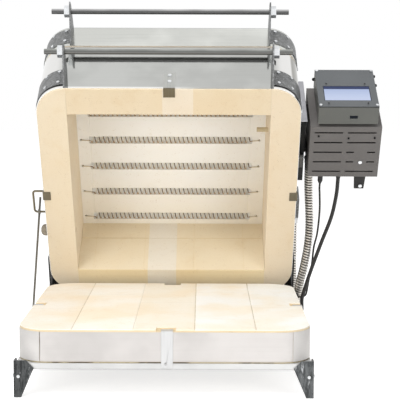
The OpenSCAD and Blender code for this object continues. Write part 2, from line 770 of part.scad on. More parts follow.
module controller_bezel() {
  color([0.47, 0.48, 0.47]) in_shell() difference() {
    block(controller_x, controller_x + controller_w, controller_top - 1.9, controller_top, 1, 146);
    block(controller_x + 13, controller_x + 111, controller_top - 3, controller_top + 1, 25.5, 81.5);
  }
}
module display_screen() {
  color([0.10, 0.12, 0.14]) in_shell()
    block(controller_x + 13.1, controller_x + 110.9, controller_top - 5, controller_top - 0.6, 25.6, 81.4);
}
module hinge_switch() {
  color([0.08, 0.08, 0.09]) in_shell()
    block(ring_plate_x + leg_t, ring_plate_x + leg_t + 10, 0, 14, -33, -21);
}

// Cords that ride on the ring.
module conduit() {
  color([0.78, 0.78, 0.77]) row()
    ribbed_hose(curve(conduit_pts, 5), conduit_r, conduit_r - 1.4, conduit_r - 3, 8, [1, 0, 0]);
}
module mains_cord_upper() {
  color([0.08, 0.08, 0.08]) row() {
    cord(curve(mains_upper_pts, 16), mains_r, 8, [1, 0, 0]);
    translate([cord_x, hinge_y, hinge_z]) sphere(r = mains_r, $fn = 24);
  }
}
module sensor_cable() {
  color([0.08, 0.08, 0.08]) row() cord(curve(sensor_pts, 9), sensor_r, 8, [1, 0, 0]);
}

// Lid.
module element_row_y(k) {
  translate([0, half - element_u0 - k * element_pitch, 0]) children();
}
module lid_bricks() {
  color([0.90, 0.84, 0.72]) in_shell() difference() {
    translate([0, 0, lid_d]) linear_extrude(brick_t) plan(brick_half, corner_r - skin_t);
    for (k = [0 : element_rows - 1]) element_row_y(k) {
      x_rod(coil_x0 - 5, coil_x1 + 5, 0, lid_d + 3.6, coil_d / 2 + 1.5);
      translate([-205, 0, lid_d - 1]) cylinder(h = 24, r = 3);
      translate([199, 0, lid_d - 1]) cylinder(h = 24, r = 3);
    }
    groove_y(-184, -chamber, chamber, lid_d);
    groove_y(177, -chamber, chamber, lid_d);
  }
}
module lid_insulation() {
  color([0.96, 0.96, 0.95]) in_shell()
    translate([0, 0, lid_d + brick_t + 0.1]) linear_extrude(lid_h - brick_t - 1.8)
      plan(brick_half, corner_r - skin_t);
}
module lid_jacket() {
  color([0.76, 0.77, 0.78]) in_shell() jacket(lid_d + 0.6, lid_top - 1.6, half, corner_r, skin_t);
}
module lid_cover() {
  color([0.70, 0.71, 0.72]) in_shell()
    translate([0, 0, lid_top - 1.5]) linear_extrude(1.5) plan(half, corner_r);
}
// One element: a long helix whose two ends run on to the lead holes and turn into them.
curls = 9;
curl_n = 8;
coil_len = coil_x1 - coil_x0;
element_pts = concat(
  [[-205, 0, 16], [-205, 0, 2], [-204, 0, -0.9], [-201.5, 0, -1.8], [-192, 0, -2.4]],
  [for (i = [0 : curls * curl_n])
    let (a = 360 * i / curl_n)
    [coil_x0 + coil_len * i / (curls * curl_n), coil_r * sin(a), 3.6 - coil_r * cos(a)]],
  [[188, 0, -2.4], [195.5, 0, -1.8], [198, 0, -0.9], [199, 0, 2], [199, 0, 16]]);
module element(k) {
  color([0.30, 0.28, 0.27]) in_shell() element_row_y(k) translate([0, 0, lid_d])
    cord(element_pts, wire_d / 2, 6, [0, 1, 0]);
}
module heating_elements() {
  for (k = [0 : element_rows - 1]) element(k);
}
module lid_bracket_left() {
  color([0.56, 0.57, 0.58]) in_shell() mirror([1, 0, 0])
    corner_bracket(lid_d + 12.6, handle_lid_d, lid_d + 5.6, lid_d + 75.6);
}
module lid_bracket_right() {
  color([0.56, 0.57, 0.58]) in_shell()
    corner_bracket(lid_d + 12.6, handle_lid_d, lid_d + 5.6, lid_d + 75.6);
}
module lid_handle_rod() {
  color([0.52, 0.53, 0.54]) in_shell() handle_rod(handle_lid_d);
}
module lid_rear_brackets() {
  color([0.56, 0.57, 0.58]) in_shell() both_sides() difference() {
    union() {
      translate([180, half, lid_d + 14]) cube([32, strap_t, 52]);
      side_plate(207.5, 210.5)
        polygon([[half + 0.2, lid_d + 14], [half + 0.2, lid_d + 66], [half + 12, lid_d + 60],
          [lid_axis_y + 11, lid_axis_d + 5], [lid_axis_y - 11, lid_axis_d + 3]]);
      x_rod(207.5, 210.5, lid_axis_y, lid_axis_d, 12);
    }
    x_rod(200, 230, lid_axis_y, lid_axis_d, lid_rod_d / 2 + running_gap);
  }
}
module lid_hinge_rod() {
  color([0.52, 0.53, 0.54]) in_shell() x_rod(-224, 224, lid_axis_y, lid_axis_d, lid_rod_d / 2);
}
// Terminal cover on the lid's right side, cut so that its conduit opening faces down at rest.
function cover_pt(along, inward) = [
  half - lid_gland_u + along * cos(open_angle) - inward * sin(open_angle),
  lid_gland_d + along * sin(open_angle) + inward * cos(open_angle)
];
module terminal_cover() {
  low = cover_pt(-13, 0);
  high = cover_pt(28, 0);
  low_in = cover_pt(-11.5, 2);
  high_in = cover_pt(26, 2);
  color([0.60, 0.61, 0.62]) in_shell() difference() {
    side_plate(half, terminal_x + 14)
      polygon([[150, low[1]], low, high, [high[0], lid_d + 66], [150, lid_d + 66]]);
    side_plate(half - 1, terminal_x + 12.5)
      polygon([[152, low_in[1]], low_in, high_in, [high_in[0], lid_d + 64], [152, lid_d + 64]]);
  }
}
module lid_conduit_fitting() {
  color([0.80, 0.80, 0.80]) row() translate(lid_gland_pt) rotate([180, 0, 0]) difference() {
    union() {
      cylinder(h = 6, r = 11.4, $fn = 6);
      cylinder(h = 13.9, r = 10.6);
    }
    translate([0, 0, -1]) cylinder(h = 30, r = 6);
  }
}
module lid_fasteners() {
  color([0.84, 0.85, 0.86]) in_shell() {
    handle_nuts(handle_lid_d);
    for (d = [lid_d + 20, lid_d + 61]) bracket_screws(d);
  }
}

// Prop rod: an eye round the lower leg of the bail, a short tail and a long straight shank.
// It reaches from the bail to just over the shelf of the catch.
foot_rise = 1.9;
prop_foot = [prop_x, catch_y + 10.15, catch_top + foot_rise];
prop_drop = shell_pt(prop_x, prop_u, prop_d) - prop_foot;
prop_len = norm(prop_drop);
prop_lean = atan2(prop_drop[1], prop_drop[2]);
module prop_rod() {
  eye = shell_pt(prop_x, prop_u, prop_d);
  color([0.55, 0.56, 0.57]) row() translate(eye) rotate([-prop_lean, 0, 0]) difference() {
    union() {
      x_rod(-wire_r, wire_r, 0, 0, 6);
      translate([0, 0, -prop_len]) cylinder(h = prop_len - 3, r = wire_r);
      translate([0, 0, 3]) cylinder(h = 32, r = wire_r);
    }
    x_rod(-5, 5, 0, 0, wire_r + running_gap);
  }
}

// Peephole plug: a knob with a stem in the left wall.
module peephole_plug() {
  color([0.09, 0.09, 0.09]) in_shell() {
    translate([-half - 0.5, half - plug_u, plug_d]) rotate([0, -90, 0]) rotate_extrude($fn = 64)
      polygon([[0, 0], [12, 0], [13, 2], [13, 6], [11.8, 9.6], [9, 12.4], [5, 14], [0, 14]]);
    x_rod(-half - 0.6, -half + 52, half - plug_u, plug_d, 8.3);
  }
}

floor_bricks();
base_band();
base_band_front();
rim_straps();
stand_frame();
front_legs();
rear_legs();
stand_screws();
base_hinge_plates();
hinge_bolts();
prop_catch();
mains_cord_lower();
mains_coil();
mains_plug();
wall_left();
wall_right();
wall_front();
wall_rear();
ring_jacket();
ring_bracket_left();
ring_bracket_right();
ring_handle_rod();
face_clips();
ring_fasteners();
ring_hinge_plates();
ring_rear_brackets();
prop_bail();
thermocouple();
side_bushing();
control_bracket();
control_standoff();
relay_box();
relay_box_cover();
relay();
cable_tab();
cord_glands();
box_conduit_fitting();
controller_housing();
controller_bezel();
display_screen();
hinge_switch();
conduit();
mains_cord_upper();
sensor_cable();
lid_bricks();
lid_insulation();
lid_jacket();
lid_cover();
heating_elements();
lid_bracket_left();
lid_bracket_right();
lid_handle_rod();
lid_rear_brackets();
lid_hinge_rod();
terminal_cover();
lid_conduit_fitting();
lid_fasteners();
prop_rod();
peephole_plug();
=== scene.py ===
import math

import bpy
import numpy as np
from mathutils import Matrix, Vector


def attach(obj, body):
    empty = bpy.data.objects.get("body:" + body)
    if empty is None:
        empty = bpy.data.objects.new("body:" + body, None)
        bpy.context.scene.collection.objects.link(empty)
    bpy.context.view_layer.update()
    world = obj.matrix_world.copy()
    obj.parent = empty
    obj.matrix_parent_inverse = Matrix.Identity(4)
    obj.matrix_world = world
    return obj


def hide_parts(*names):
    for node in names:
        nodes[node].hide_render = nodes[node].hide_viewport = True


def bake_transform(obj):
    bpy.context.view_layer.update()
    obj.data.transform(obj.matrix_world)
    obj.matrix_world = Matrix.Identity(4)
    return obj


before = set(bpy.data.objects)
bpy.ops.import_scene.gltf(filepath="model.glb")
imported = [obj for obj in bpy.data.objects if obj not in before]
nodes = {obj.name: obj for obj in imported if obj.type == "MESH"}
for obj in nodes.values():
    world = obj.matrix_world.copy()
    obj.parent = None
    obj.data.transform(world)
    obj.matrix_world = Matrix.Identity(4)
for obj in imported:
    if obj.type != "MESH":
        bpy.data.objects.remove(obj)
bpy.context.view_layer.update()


# ---------------------------------------------------------------- places
# The kiln's own millimetres run from the middle of its floor: X right, Y back, Z up from the bench.
ORIGIN = np.array([73.5, 122.6861, 0.0])
TILT = math.radians(57.7)
COS, SIN = math.cos(TILT), math.sin(TILT)
HALF, HINGE_Y, HINGE_Z, HINGE_D = 276.0, 274.0, 79.0, -49.5
DOWN_FACE = np.array([0.0, COS, -SIN])
LID_D = 170.4
PLUG_U, PLUG_D = 164, 20


def at(p):
    """A point in the kiln's millimetres, as metres in the row frame."""
    return (np.asarray(p, float) - ORIGIN) / 1000.0


def shell(x, u, d):
    """A point of the raised shell: u from its rear edge towards its front, d up from its rim."""
    y = HALF - u - HINGE_Y
    z = d - HINGE_D
    return np.array([x, HINGE_Y + y * COS + z * SIN, HINGE_Z - y * SIN + z * COS])


def curve_pt(a, b, c, d, t):
    return 0.5 * (2 * b + (c - a) * t + (2 * a - 5 * b + 4 * c - d) * t * t
                  + (3 * b - a - 3 * c + d) * t ** 3)


def curve(points, step):
    """A smooth line through chosen points, with about that step."""
    p = [np.array(q, float) for q in points]
    out = []
    for i in range(len(p) - 1):
        n = max(1, round(np.linalg.norm(p[i + 1] - p[i]) / step))
        a = 2 * p[0] - p[1] if i == 0 else p[i - 1]
        d = 2 * p[i + 1] - p[i] if i == len(p) - 2 else p[i + 2]
        out += [curve_pt(a, p[i], p[i + 1], d, k / n) for k in range(n)]
    return np.array(out + [p[-1]])


def even(p, step):
    """The same line with even steps."""
    p = np.asarray(p, float)
    s = np.concatenate([[0], np.cumsum(np.linalg.norm(np.diff(p, axis=0), axis=1))])
    n = max(2, round(s[-1] / step))
    t = np.linspace(0, s[-1], n + 1)
    return np.stack([np.interp(t, s, p[:, k]) for k in range(3)], axis=1)


def relax(p, width, hold):
    """Evens out the bends of an even line, with its two ends held in place."""
    step = np.linalg.norm(p[1] - p[0])
    n = max(1, int(3 * width / step))
    k = np.exp(-0.5 * (np.arange(-n, n + 1) * step / width) ** 2)
    k /= k.sum()
    pad = np.concatenate([2 * p[0] - p[n:0:-1], p, 2 * p[-1] - p[-2:-n - 2:-1]])
    soft = np.stack([np.convolve(pad[:, c], k, "valid") for c in range(3)], axis=1)
    s = np.arange(len(p)) * step
    w = np.clip(np.minimum(s, s[-1] - s) / hold, 0, 1)
    w = (w * w * (3 - 2 * w))[:, None]
    return p * (1 - w) + soft * w


# ---------------------------------------------------------------- camera
camera_data = bpy.data.cameras.new("camera")
camera_data.sensor_width = 36
camera_data.lens = 116.6
camera_data.clip_end = 50
camera = bpy.data.objects.new("camera", camera_data)
bpy.context.scene.collection.objects.link(camera)
pitch, yaw, roll = 0.0923, -0.0022, -0.0032
forward = np.array([math.sin(yaw) * math.cos(pitch), math.cos(yaw) * math.cos(pitch), -math.sin(pitch)])
right = np.array([math.cos(yaw), -math.sin(yaw), 0.0])
down = np.cross(forward, right)
cam_x = right * math.cos(roll) + down * math.sin(roll)
cam_down = -right * math.sin(roll) + down * math.cos(roll)
place = Matrix([list(cam_x), list(-cam_down), list(-forward)]).transposed().to_4x4()
place.translation = Vector(at([71.6, -2643.7, 588.8]))
camera.matrix_world = place
bpy.context.scene.camera = camera

# ---------------------------------------------------------------- mesh helpers


def mesh_piece(name, verts, faces, material=None, smooth=True, metres=False):
    """A mesh from points in the kiln's millimetres."""
    me = bpy.data.meshes.new(name)
    pts = np.asarray(verts, float) if metres else at(np.asarray(verts, float))
    me.from_pydata([tuple(p) for p in pts], [], [tuple(int(i) for i in f) for f in faces])
    me.validate()
    me.update()
    if smooth:
        me.polygons.foreach_set("use_smooth", [True] * len(me.polygons))
    ob = bpy.data.objects.new(name, me)
    bpy.context.scene.collection.objects.link(ob)
    if material is not None:
        me.materials.append(material)
    return ob


def frames_along(p, start):
    """Tangent, normal and side of a line at each of its points, with no twist."""
    t = np.gradient(p, axis=0)
    t /= np.linalg.norm(t, axis=1)[:, None]
    n = np.zeros_like(p)
    v = np.asarray(start, float)
    for i in range(len(p)):
        v = v - v.dot(t[i]) * t[i]
        v = v / np.linalg.norm(v)
        n[i] = v
    return t, n, np.cross(t, n)


def tube(p, radius, sides, start=(0, 0, 1), caps=True, wave=None):
    """Points and faces of a tube along p. wave(i, angles) may give each ring its own radii."""
    p = np.asarray(p, float)
    t, n, b = frames_along(p, start)
    ang = np.arange(sides) * 2 * math.pi / sides
    rad = np.broadcast_to(np.asarray(radius, float), (len(p),))
    verts = []
    for i in range(len(p)):
        r = rad[i] if wave is None else wave(i, ang)
        ring = p[i] + (np.cos(ang) * r)[:, None] * n[i] + (np.sin(ang) * r)[:, None] * b[i]
        verts.append(ring)
    verts = np.concatenate(verts)
    faces = []
    for i in range(len(p) - 1):
        for k in range(sides):
            m = (k + 1) % sides
            a, c = i * sides, (i + 1) * sides
            faces.append((a + k, a + m, c + m, c + k))
    if caps:
        faces.append(tuple(range(sides - 1, -1, -1)))
        last = (len(p) - 1) * sides
        faces.append(tuple(last + k for k in range(sides)))
    return verts, faces


class Heap:
    """Collects the parts of one mesh."""

    def __init__(self):
        self.verts, self.faces = [], []

    def add(self, verts, faces):
        base = len(self.verts)
        self.verts += [tuple(v) for v in verts]
        self.faces += [tuple(base + i for i in f) for f in faces]


# ---------------------------------------------------------------- material helpers


def lin(r, g, b):
    """A colour in ordinary 0 to 255 steps, as the shader's linear colour."""
    out = []
    for c in (r, g, b):
        c /= 255.0
        out.append(c / 12.92 if c <= 0.04045 else ((c + 0.055) / 1.055) ** 2.4)
    return (*out, 1.0)


class Mat:
    """A principled material with short calls for its pattern nodes."""

    def __init__(self, name, metallic=0.0, roughness=0.5, color=(0.8, 0.8, 0.8, 1), ior=1.45, specular=0.5):
        self.m = bpy.data.materials.new(name)
        self.m.use_nodes = True
        self.t = self.m.node_tree
        self.t.nodes.clear()
        self.out = self.t.nodes.new("ShaderNodeOutputMaterial")
        self.p = self.t.nodes.new("ShaderNodeBsdfPrincipled")
        self.t.links.new(self.p.outputs[0], self.out.inputs[0])
        self.p.inputs["Metallic"].default_value = metallic
        self.p.inputs["Roughness"].default_value = roughness
        self.p.inputs["Base Color"].default_value = color
        self.p.inputs["IOR"].default_value = ior
        self.p.inputs["Specular IOR Level"].default_value = specular
        self.obj = self.t.nodes.new("ShaderNodeTexCoord").outputs["Object"]
        self.kiln = self.mapping(self.obj, loc=tuple(ORIGIN / 1000.0))
        pivot = at([0, HINGE_Y, HINGE_Z])
        turned = np.array([pivot[0], pivot[1] * COS - pivot[2] * SIN, pivot[1] * SIN + pivot[2] * COS])
        off = np.array([0.0, HINGE_Y / 1000.0, HINGE_D / 1000.0]) - turned
        self.shut = self.mapping(self.obj, rot=(TILT, 0, 0), loc=(float(off[0]), float(off[1]), float(off[2])))

    def set(self, socket, value):
        s = self.p.inputs[socket]
        if hasattr(value, "is_linked"):
            self.t.links.new(value, s)
        else:
            s.default_value = value

    def put(self, socket, value):
        if hasattr(value, "is_linked"):
            self.t.links.new(value, socket)
        else:
            socket.default_value = value

    def mapping(self, vec, scale=(1, 1, 1), rot=(0, 0, 0), loc=(0, 0, 0)):
        n = self.t.nodes.new("ShaderNodeMapping")
        self.t.links.new(vec, n.inputs["Vector"])
        n.inputs["Scale"].default_value = scale
        n.inputs["Rotation"].default_value = rot
        n.inputs["Location"].default_value = loc
        return n.outputs[0]

    def noise(self, scale, detail=4.0, rough=0.55, vec=None, stretch=None, dist=0.0):
        v = self.obj if vec is None else vec
        if stretch is not None:
            v = self.mapping(v, scale=stretch)
        n = self.t.nodes.new("ShaderNodeTexNoise")
        self.t.links.new(v, n.inputs["Vector"])
        n.inputs["Scale"].default_value = scale
        n.inputs["Detail"].default_value = detail
        n.inputs["Roughness"].default_value = rough
        n.inputs["Distortion"].default_value = dist
        return n.outputs[0]

    def pits(self, scale, vec=None, feature="F1", rnd=1.0):
        n = self.t.nodes.new("ShaderNodeTexVoronoi")
        self.t.links.new(self.obj if vec is None else vec, n.inputs["Vector"])
        n.feature = feature
        n.inputs["Scale"].default_value = scale
        n.inputs["Randomness"].default_value = rnd
        return n.outputs["Distance"]

    def ramp(self, fac, stops, interp="LINEAR"):
        n = self.t.nodes.new("ShaderNodeValToRGB")
        self.put(n.inputs[0], fac)
        cr = n.color_ramp
        cr.interpolation = interp
        while len(cr.elements) < len(stops):
            cr.elements.new(0.5)
        for e, (pos, col) in zip(cr.elements, sorted(stops, key=lambda s: s[0])):
            e.position = pos
            e.color = col if hasattr(col, "__len__") else (col, col, col, 1)
        return n.outputs[0]

    def mix(self, fac, a, b, mode="MIX"):
        n = self.t.nodes.new("ShaderNodeMix")
        n.data_type = "RGBA"
        n.blend_type = mode
        n.clamp_factor = True
        self.put(n.inputs[0], fac)
        self.put(n.inputs[6], a)
        self.put(n.inputs[7], b)
        return n.outputs[2]

    def math(self, op, a, b=0.0, c=0.0):
        n = self.t.nodes.new("ShaderNodeMath")
        n.operation = op
        self.put(n.inputs[0], a)
        self.put(n.inputs[1], b)
        self.put(n.inputs[2], c)
        return n.outputs[0]

    def axes(self, vec):
        n = self.t.nodes.new("ShaderNodeSeparateXYZ")
        self.t.links.new(vec, n.inputs[0])
        return n.outputs[0], n.outputs[1], n.outputs[2]

    def step(self, value, low, high):
        """0 below low, 1 above high."""
        n = self.t.nodes.new("ShaderNodeMapRange")
        n.interpolation_type = "SMOOTHSTEP"
        self.put(n.inputs[0], value)
        n.inputs[1].default_value = low
        n.inputs[2].default_value = high
        n.inputs[3].default_value = 0.0
        n.inputs[4].default_value = 1.0
        return n.outputs[0]

    def band(self, value, low, high, soft=0.0004):
        """1 between low and high."""
        return self.math("MULTIPLY", self.step(value, low - soft, low + soft),
                         self.math("SUBTRACT", 1.0, self.step(value, high - soft, high + soft)))

    def line(self, value, where, width):
        """1 on a thin line."""
        d = self.math("ABSOLUTE", self.math("SUBTRACT", value, where))
        return self.math("SUBTRACT", 1.0, self.step(d, width * 0.35, width))

    def bump(self, height, strength=0.3, distance=0.001, normal=None):
        n = self.t.nodes.new("ShaderNodeBump")
        n.inputs["Strength"].default_value = strength
        n.inputs["Distance"].default_value = distance
        self.put(n.inputs["Height"], height)
        if normal is not None:
            self.t.links.new(normal, n.inputs["Normal"])
        return n.outputs[0]

    def edge(self, radius=0.0012, low=0.03, high=0.3):
        """1 on the edges of the form, from how a rounded edge would turn the surface."""
        b = self.t.nodes.new("ShaderNodeBevel")
        b.samples = 4
        b.inputs["Radius"].default_value = radius
        g = self.t.nodes.new("ShaderNodeNewGeometry")
        v = self.t.nodes.new("ShaderNodeVectorMath")
        v.operation = "DOT_PRODUCT"
        self.t.links.new(b.outputs[0], v.inputs[0])
        self.t.links.new(g.outputs["Normal"], v.inputs[1])
        return self.step(self.math("SUBTRACT", 1.0, v.outputs["Value"]), low, high)


# ---------------------------------------------------------------- brick


def brick(name, tint, cells=None, joints=None):
    """Soft fire brick. tint is its colour; cells(m, base) may give a colour by place."""
    m = Mat(name, roughness=0.93, specular=0.15)
    base = tint
    if cells is not None:
        base = cells(m, base)
    sx, sy, sz = m.axes(m.shut)
    skin = m.step(m.math("MAXIMUM", m.math("ABSOLUTE", sx), m.math("ABSOLUTE", sy)), 0.2712, 0.2722)
    skin = m.math("MULTIPLY", skin, m.band(sz, 0.160, 0.178))
    tan = m.band(sz, 0.170, 0.178)
    base = m.mix(m.math("MULTIPLY", skin, 0.9), base, m.mix(tan, lin(152, 150, 146), lin(214, 192, 160)))
    hot = m.math("MULTIPLY", m.math("SUBTRACT", 1.0, m.step(m.math("MAXIMUM", m.math("ABSOLUTE", sx), m.math("ABSOLUTE", sy)), 0.2115, 0.2130)), m.step(sz, 0.0, 0.003))
    less = m.math("SUBTRACT", 1.0, m.math("MULTIPLY", hot, 0.65))
    cloud = m.noise(9, 3, 0.6)
    base = m.mix(m.math("MULTIPLY", m.math("MULTIPLY", m.step(cloud, 0.35, 0.75), 0.40), less), base, m.mix(1.0, base, lin(250, 243, 230), "MULTIPLY"))
    smear = m.noise(22, 5, 0.65, dist=0.6)
    base = m.mix(m.math("MULTIPLY", m.math("MULTIPLY", m.step(smear, 0.50, 0.80), 0.30), less), base, m.mix(1.0, base, lin(240, 226, 202), "MULTIPLY"))
    grain = m.noise(520, 3, 0.7)
    base = m.mix(m.math("MULTIPLY", m.math("MULTIPLY", m.step(grain, 0.52, 0.75), 0.35), less), base, m.mix(1.0, base, lin(231, 218, 198), "MULTIPLY"))
    pore = m.pits(420)
    pore_size = m.noise(95, 2, 0.5)
    hole = m.math("LESS_THAN", pore, m.math("MULTIPLY", m.step(pore_size, 0.46, 0.72), 0.33))
    base = m.mix(m.math("MULTIPLY", hole, 0.32), base, m.mix(1.0, base, lin(192, 170, 140), "MULTIPLY"))
    big = m.pits(130)
    big_size = m.noise(31, 2, 0.5)
    chip = m.math("LESS_THAN", big, m.math("MULTIPLY", m.step(big_size, 0.58, 0.80), 0.20))
    base = m.mix(m.math("MULTIPLY", chip, 0.25), base, m.mix(1.0, base, lin(196, 174, 142), "MULTIPLY"))
    if joints is not None:
        seam = joints(m)
        wob = m.step(m.noise(60, 3, 0.6), 0.20, 0.5)
        base = m.mix(m.math("MULTIPLY", seam, m.math("MULTIPLY", wob, 0.85)), base, m.mix(1.0, base, lin(140, 122, 98), "MULTIPLY"))
    edge = m.edge(0.0016, 0.02, 0.25)
    base = m.mix(m.math("MULTIPLY", edge, 0.35), base, lin(252, 246, 232))
    m.set("Base Color", base)
    height = m.math("ADD", m.math("MULTIPLY", grain, 0.5), m.math("MULTIPLY", m.noise(130, 4, 0.6), 0.5))
    height = m.math("SUBTRACT", height, m.math("MULTIPLY", hole, 0.7))
    height = m.math("SUBTRACT", height, m.math("MULTIPLY", chip, 1.0))
    m.set("Normal", m.bump(height, 0.35, 0.0008))
    m.set("Roughness", m.math("ADD", 0.86, m.math("MULTIPLY", grain, 0.10)))
    return m.m


BW = 0.1143


def five_bricks(m, base):
    x, y, z = m.axes(m.kiln)
    t = m.math("DIVIDE", m.math("ADD", x, 0.276), 0.552)
    stops = [(0.0, lin(247, 240, 228)), ((0.276 - 1.5 * BW) / 0.552, lin(251, 246, 236)),
             ((0.276 - 0.5 * BW) / 0.552, lin(247, 240, 226)), ((0.276 + 0.5 * BW) / 0.552, lin(251, 250, 246)),
             ((0.276 + 1.5 * BW) / 0.552, lin(251, 251, 248))]
    col = m.ramp(t, stops, "CONSTANT")
    warm = m.step(m.noise(6.5, 2, 0.5), 0.40, 0.68)
    col = m.mix(m.math("MULTIPLY", warm, 0.5), col, m.mix(1.0, col, lin(252, 238, 214), "MULTIPLY"))
    # The edge beneath the rim is tan, and the slit over the rail is painted dark as shade, in uneven patches.
    col = m.mix(m.math("MULTIPLY", m.math("SUBTRACT", 1.0, m.step(z, 0.1258, 0.1270)), 0.85), col, lin(222, 202, 164))
    # Painted shade: uneven dark patches in the slit over the rail.
    dust = m.mix(m.step(m.noise(21, 3, 0.6), 0.42, 0.60), lin(188, 176, 146), lin(92, 82, 62))
    return m.mix(m.math("SUBTRACT", 1.0, m.step(z, 0.0672, 0.0680)), col, dust)


def slab_joints(m):
    x, y, z = m.axes(m.kiln)
    top = m.step(z, 0.1268, 0.1275)
    out = None
    for i, dark in ((-1.5, 0.55), (-0.5, 0.35), (0.5, 0.75), (1.5, 1.0)):
        l = m.math("MULTIPLY", m.line(x, i * BW, 0.0011), dark)
        out = l if out is None else m.math("MAXIMUM", out, l)
    for x0, x1, yy in ((-0.276, -0.17145, -0.056), (-0.17145, -0.05715, 0.118), (-0.05715, 0.05715, 0.020),
                       (0.05715, 0.17145, -0.166), (0.17145, 0.276, -0.034), (-0.276, -0.17145, 0.172),
                       (0.05715, 0.17145, 0.148)):
        l = m.math("MULTIPLY", m.line(y, yy, 0.0007), m.band(x, x0, x1))
        out = m.math("MAXIMUM", out, m.math("MULTIPLY", l, 0.30))
    return m.math("MULTIPLY", out, top)


brick_slab = brick("brick_slab", None, five_bricks, joints=slab_joints)


def inside(m, col):
    """The hot faces of the ring's walls are bleached, and a dark line of painted shade runs along the outer left edge
    by the rim.
    """
    x, y, z = m.axes(m.shut)
    room = m.math("MULTIPLY", m.math("SUBTRACT", 1.0, m.step(m.math("ABSOLUTE", x), 0.2115, 0.2130)),
                  m.math("MULTIPLY", m.math("SUBTRACT", 1.0, m.step(m.math("ABSOLUTE", y), 0.2115, 0.2130)), 0.9))
    # Painted shade: a dark line on the outer left edge, near the rim.
    side = m.math("MULTIPLY", m.math("SUBTRACT", 1.0, m.step(x, -0.2748, -0.2740)), m.math("SUBTRACT", 1.0, m.step(z, 0.0030, 0.0040)))
    col = m.mix(m.math("MULTIPLY", side, 0.8), col, lin(112, 106, 94))
    return m.mix(m.math("MULTIPLY", room, m.step(z, 0.0010, 0.0030)), col, lin(254, 252, 248))


def side_cells(m, base):
    return inside(m, base)


def ring_cells(tint, light, x0, x1):
    def cells(m, base):
        x, y, z = m.axes(m.shut)
        return inside(m, m.mix(m.band(x, x0, x1, 0.0003), tint, light))
    return cells


brick_left = brick("brick_left", lin(231, 216, 190), side_cells)
brick_right = brick("brick_right", lin(229, 213, 187), side_cells)
brick_front = brick("brick_front", None, ring_cells(lin(226, 209, 180), lin(231, 219, 200), -0.013, 0.051))
brick_rear = brick("brick_rear", None, ring_cells(lin(232, 214, 176), lin(231, 222, 204), -0.054, 0.011))


def lid_cells(m, base):
    x, y, z = m.axes(m.shut)
    fade = m.step(m.noise(5, 2, 0.5), 0.35, 0.7)
    col = m.mix(m.math("MULTIPLY", fade, 0.6), lin(246, 246, 244), lin(244, 242, 236))
    # Towards the hinge it is a little darker.
    col = m.mix(m.step(y, 0.0, 0.26), col, m.mix(1.0, col, lin(252, 247, 238), "MULTIPLY"))
    # Inside the grooves the brick is painted near white: painted light against the shade of the coils.
    return m.mix(m.step(z, (LID_D + 0.8) / 1000, (LID_D + 2.5) / 1000), col, lin(252, 251, 247))


brick_lid = brick("brick_lid", None, lid_cells)

# ---------------------------------------------------------------- metals


def sheet_steel(name, tint, rough, grain_dir, wave=0.10, edge_to=None, metallic=1.0, cells=None, mottle=0.0, streak=0.30):
    """Rolled sheet steel: fine grain along one way, faint waves, smudges. cells(m, col) may change the colour by place."""
    m = Mat(name, metallic=metallic, roughness=rough)
    grain = m.noise(260, 3, 0.6, stretch=grain_dir)
    blot = m.noise(7, 3, 0.55)
    fine = m.noise(38, 4, 0.6)
    dark = tuple(c * 0.90 for c in tint[:3]) + (1,)
    lite = tuple(min(1, c * 1.05) for c in tint[:3]) + (1,)
    col = m.mix(m.step(blot, 0.36, 0.66), dark, lite)
    if cells is not None:
        col = cells(m, col)
    col = m.mix(m.math("MULTIPLY", m.step(grain, 0.45, 0.7), streak), col, m.mix(1.0, col, lin(224, 224, 224), "MULTIPLY"))
    if mottle > 0:
        spots = m.noise(150, 4, 0.75, stretch=(1, 1, 0.28))
        col = m.mix(m.math("MULTIPLY", m.step(spots, 0.42, 0.62), mottle), col, m.mix(1.0, col, lin(140, 141, 142), "MULTIPLY"))
        flash = m.noise(240, 3, 0.7, stretch=(1, 1, 0.2))
        col = m.mix(m.math("MULTIPLY", m.step(flash, 0.60, 0.72), mottle * 0.8), col, lin(206, 208, 210))
    if edge_to is not None:
        col = m.mix(m.math("MULTIPLY", m.edge(0.0008, 0.03, 0.3), 0.6), col, edge_to)
    m.set("Base Color", col)
    vary = min(1.0, rough / 0.2)
    r = m.math("ADD", rough - 0.05 * vary, m.math("MULTIPLY", m.step(fine, 0.35, 0.7), 0.10 * vary))
    m.set("Roughness", m.math("ADD", r, m.math("MULTIPLY", grain, 0.05 * vary)))
    soft = m.noise(2.6, 1.5, 0.4)
    n1 = m.bump(soft, wave, 0.02)
    m.set("Normal", m.bump(grain, 0.2 * streak, 0.0004, n1))
    return m.m


def band_cells(m, col):
    """The front sheet's right corner is painted darker as shade, and its left end has a crooked dark seam."""
    x, y, z = m.axes(m.kiln)
    # Painted shade: the right corner is darker.
    col = m.mix(m.step(x, 0.2435, 0.2465), col, m.mix(1.0, col, lin(226, 223, 221), "MULTIPLY"))
    crook = m.math("ADD", x, m.math("MULTIPLY", m.math("SUBTRACT", m.noise(30, 2, 0.5), 0.5), 0.004))
    seam = m.math("MULTIPLY", m.line(crook, -0.2312, 0.0019), m.math("ADD", 0.55, m.math("MULTIPLY", m.step(z, 0.085, 0.118), 0.45)))
    col = m.mix(seam, col, lin(58, 52, 46))
    col = m.mix(m.math("MULTIPLY", m.band(x, -0.2375, -0.2335), 0.6), col, lin(238, 236, 233))
    low = m.math("SUBTRACT", 1.0, m.step(z, 0.0675, 0.0705))
    return m.mix(m.math("MULTIPLY", low, 0.45), col, lin(176, 166, 152))


def rail_cells(m, col):
    x, y, z = m.axes(m.kiln)
    # Painted shade: the rail is darker along its lower edge.
    low = m.math("SUBTRACT", 1.0, m.step(z, 0.0532, 0.0545))
    return m.mix(m.math("MULTIPLY", low, 0.7), col, lin(158, 158, 157))


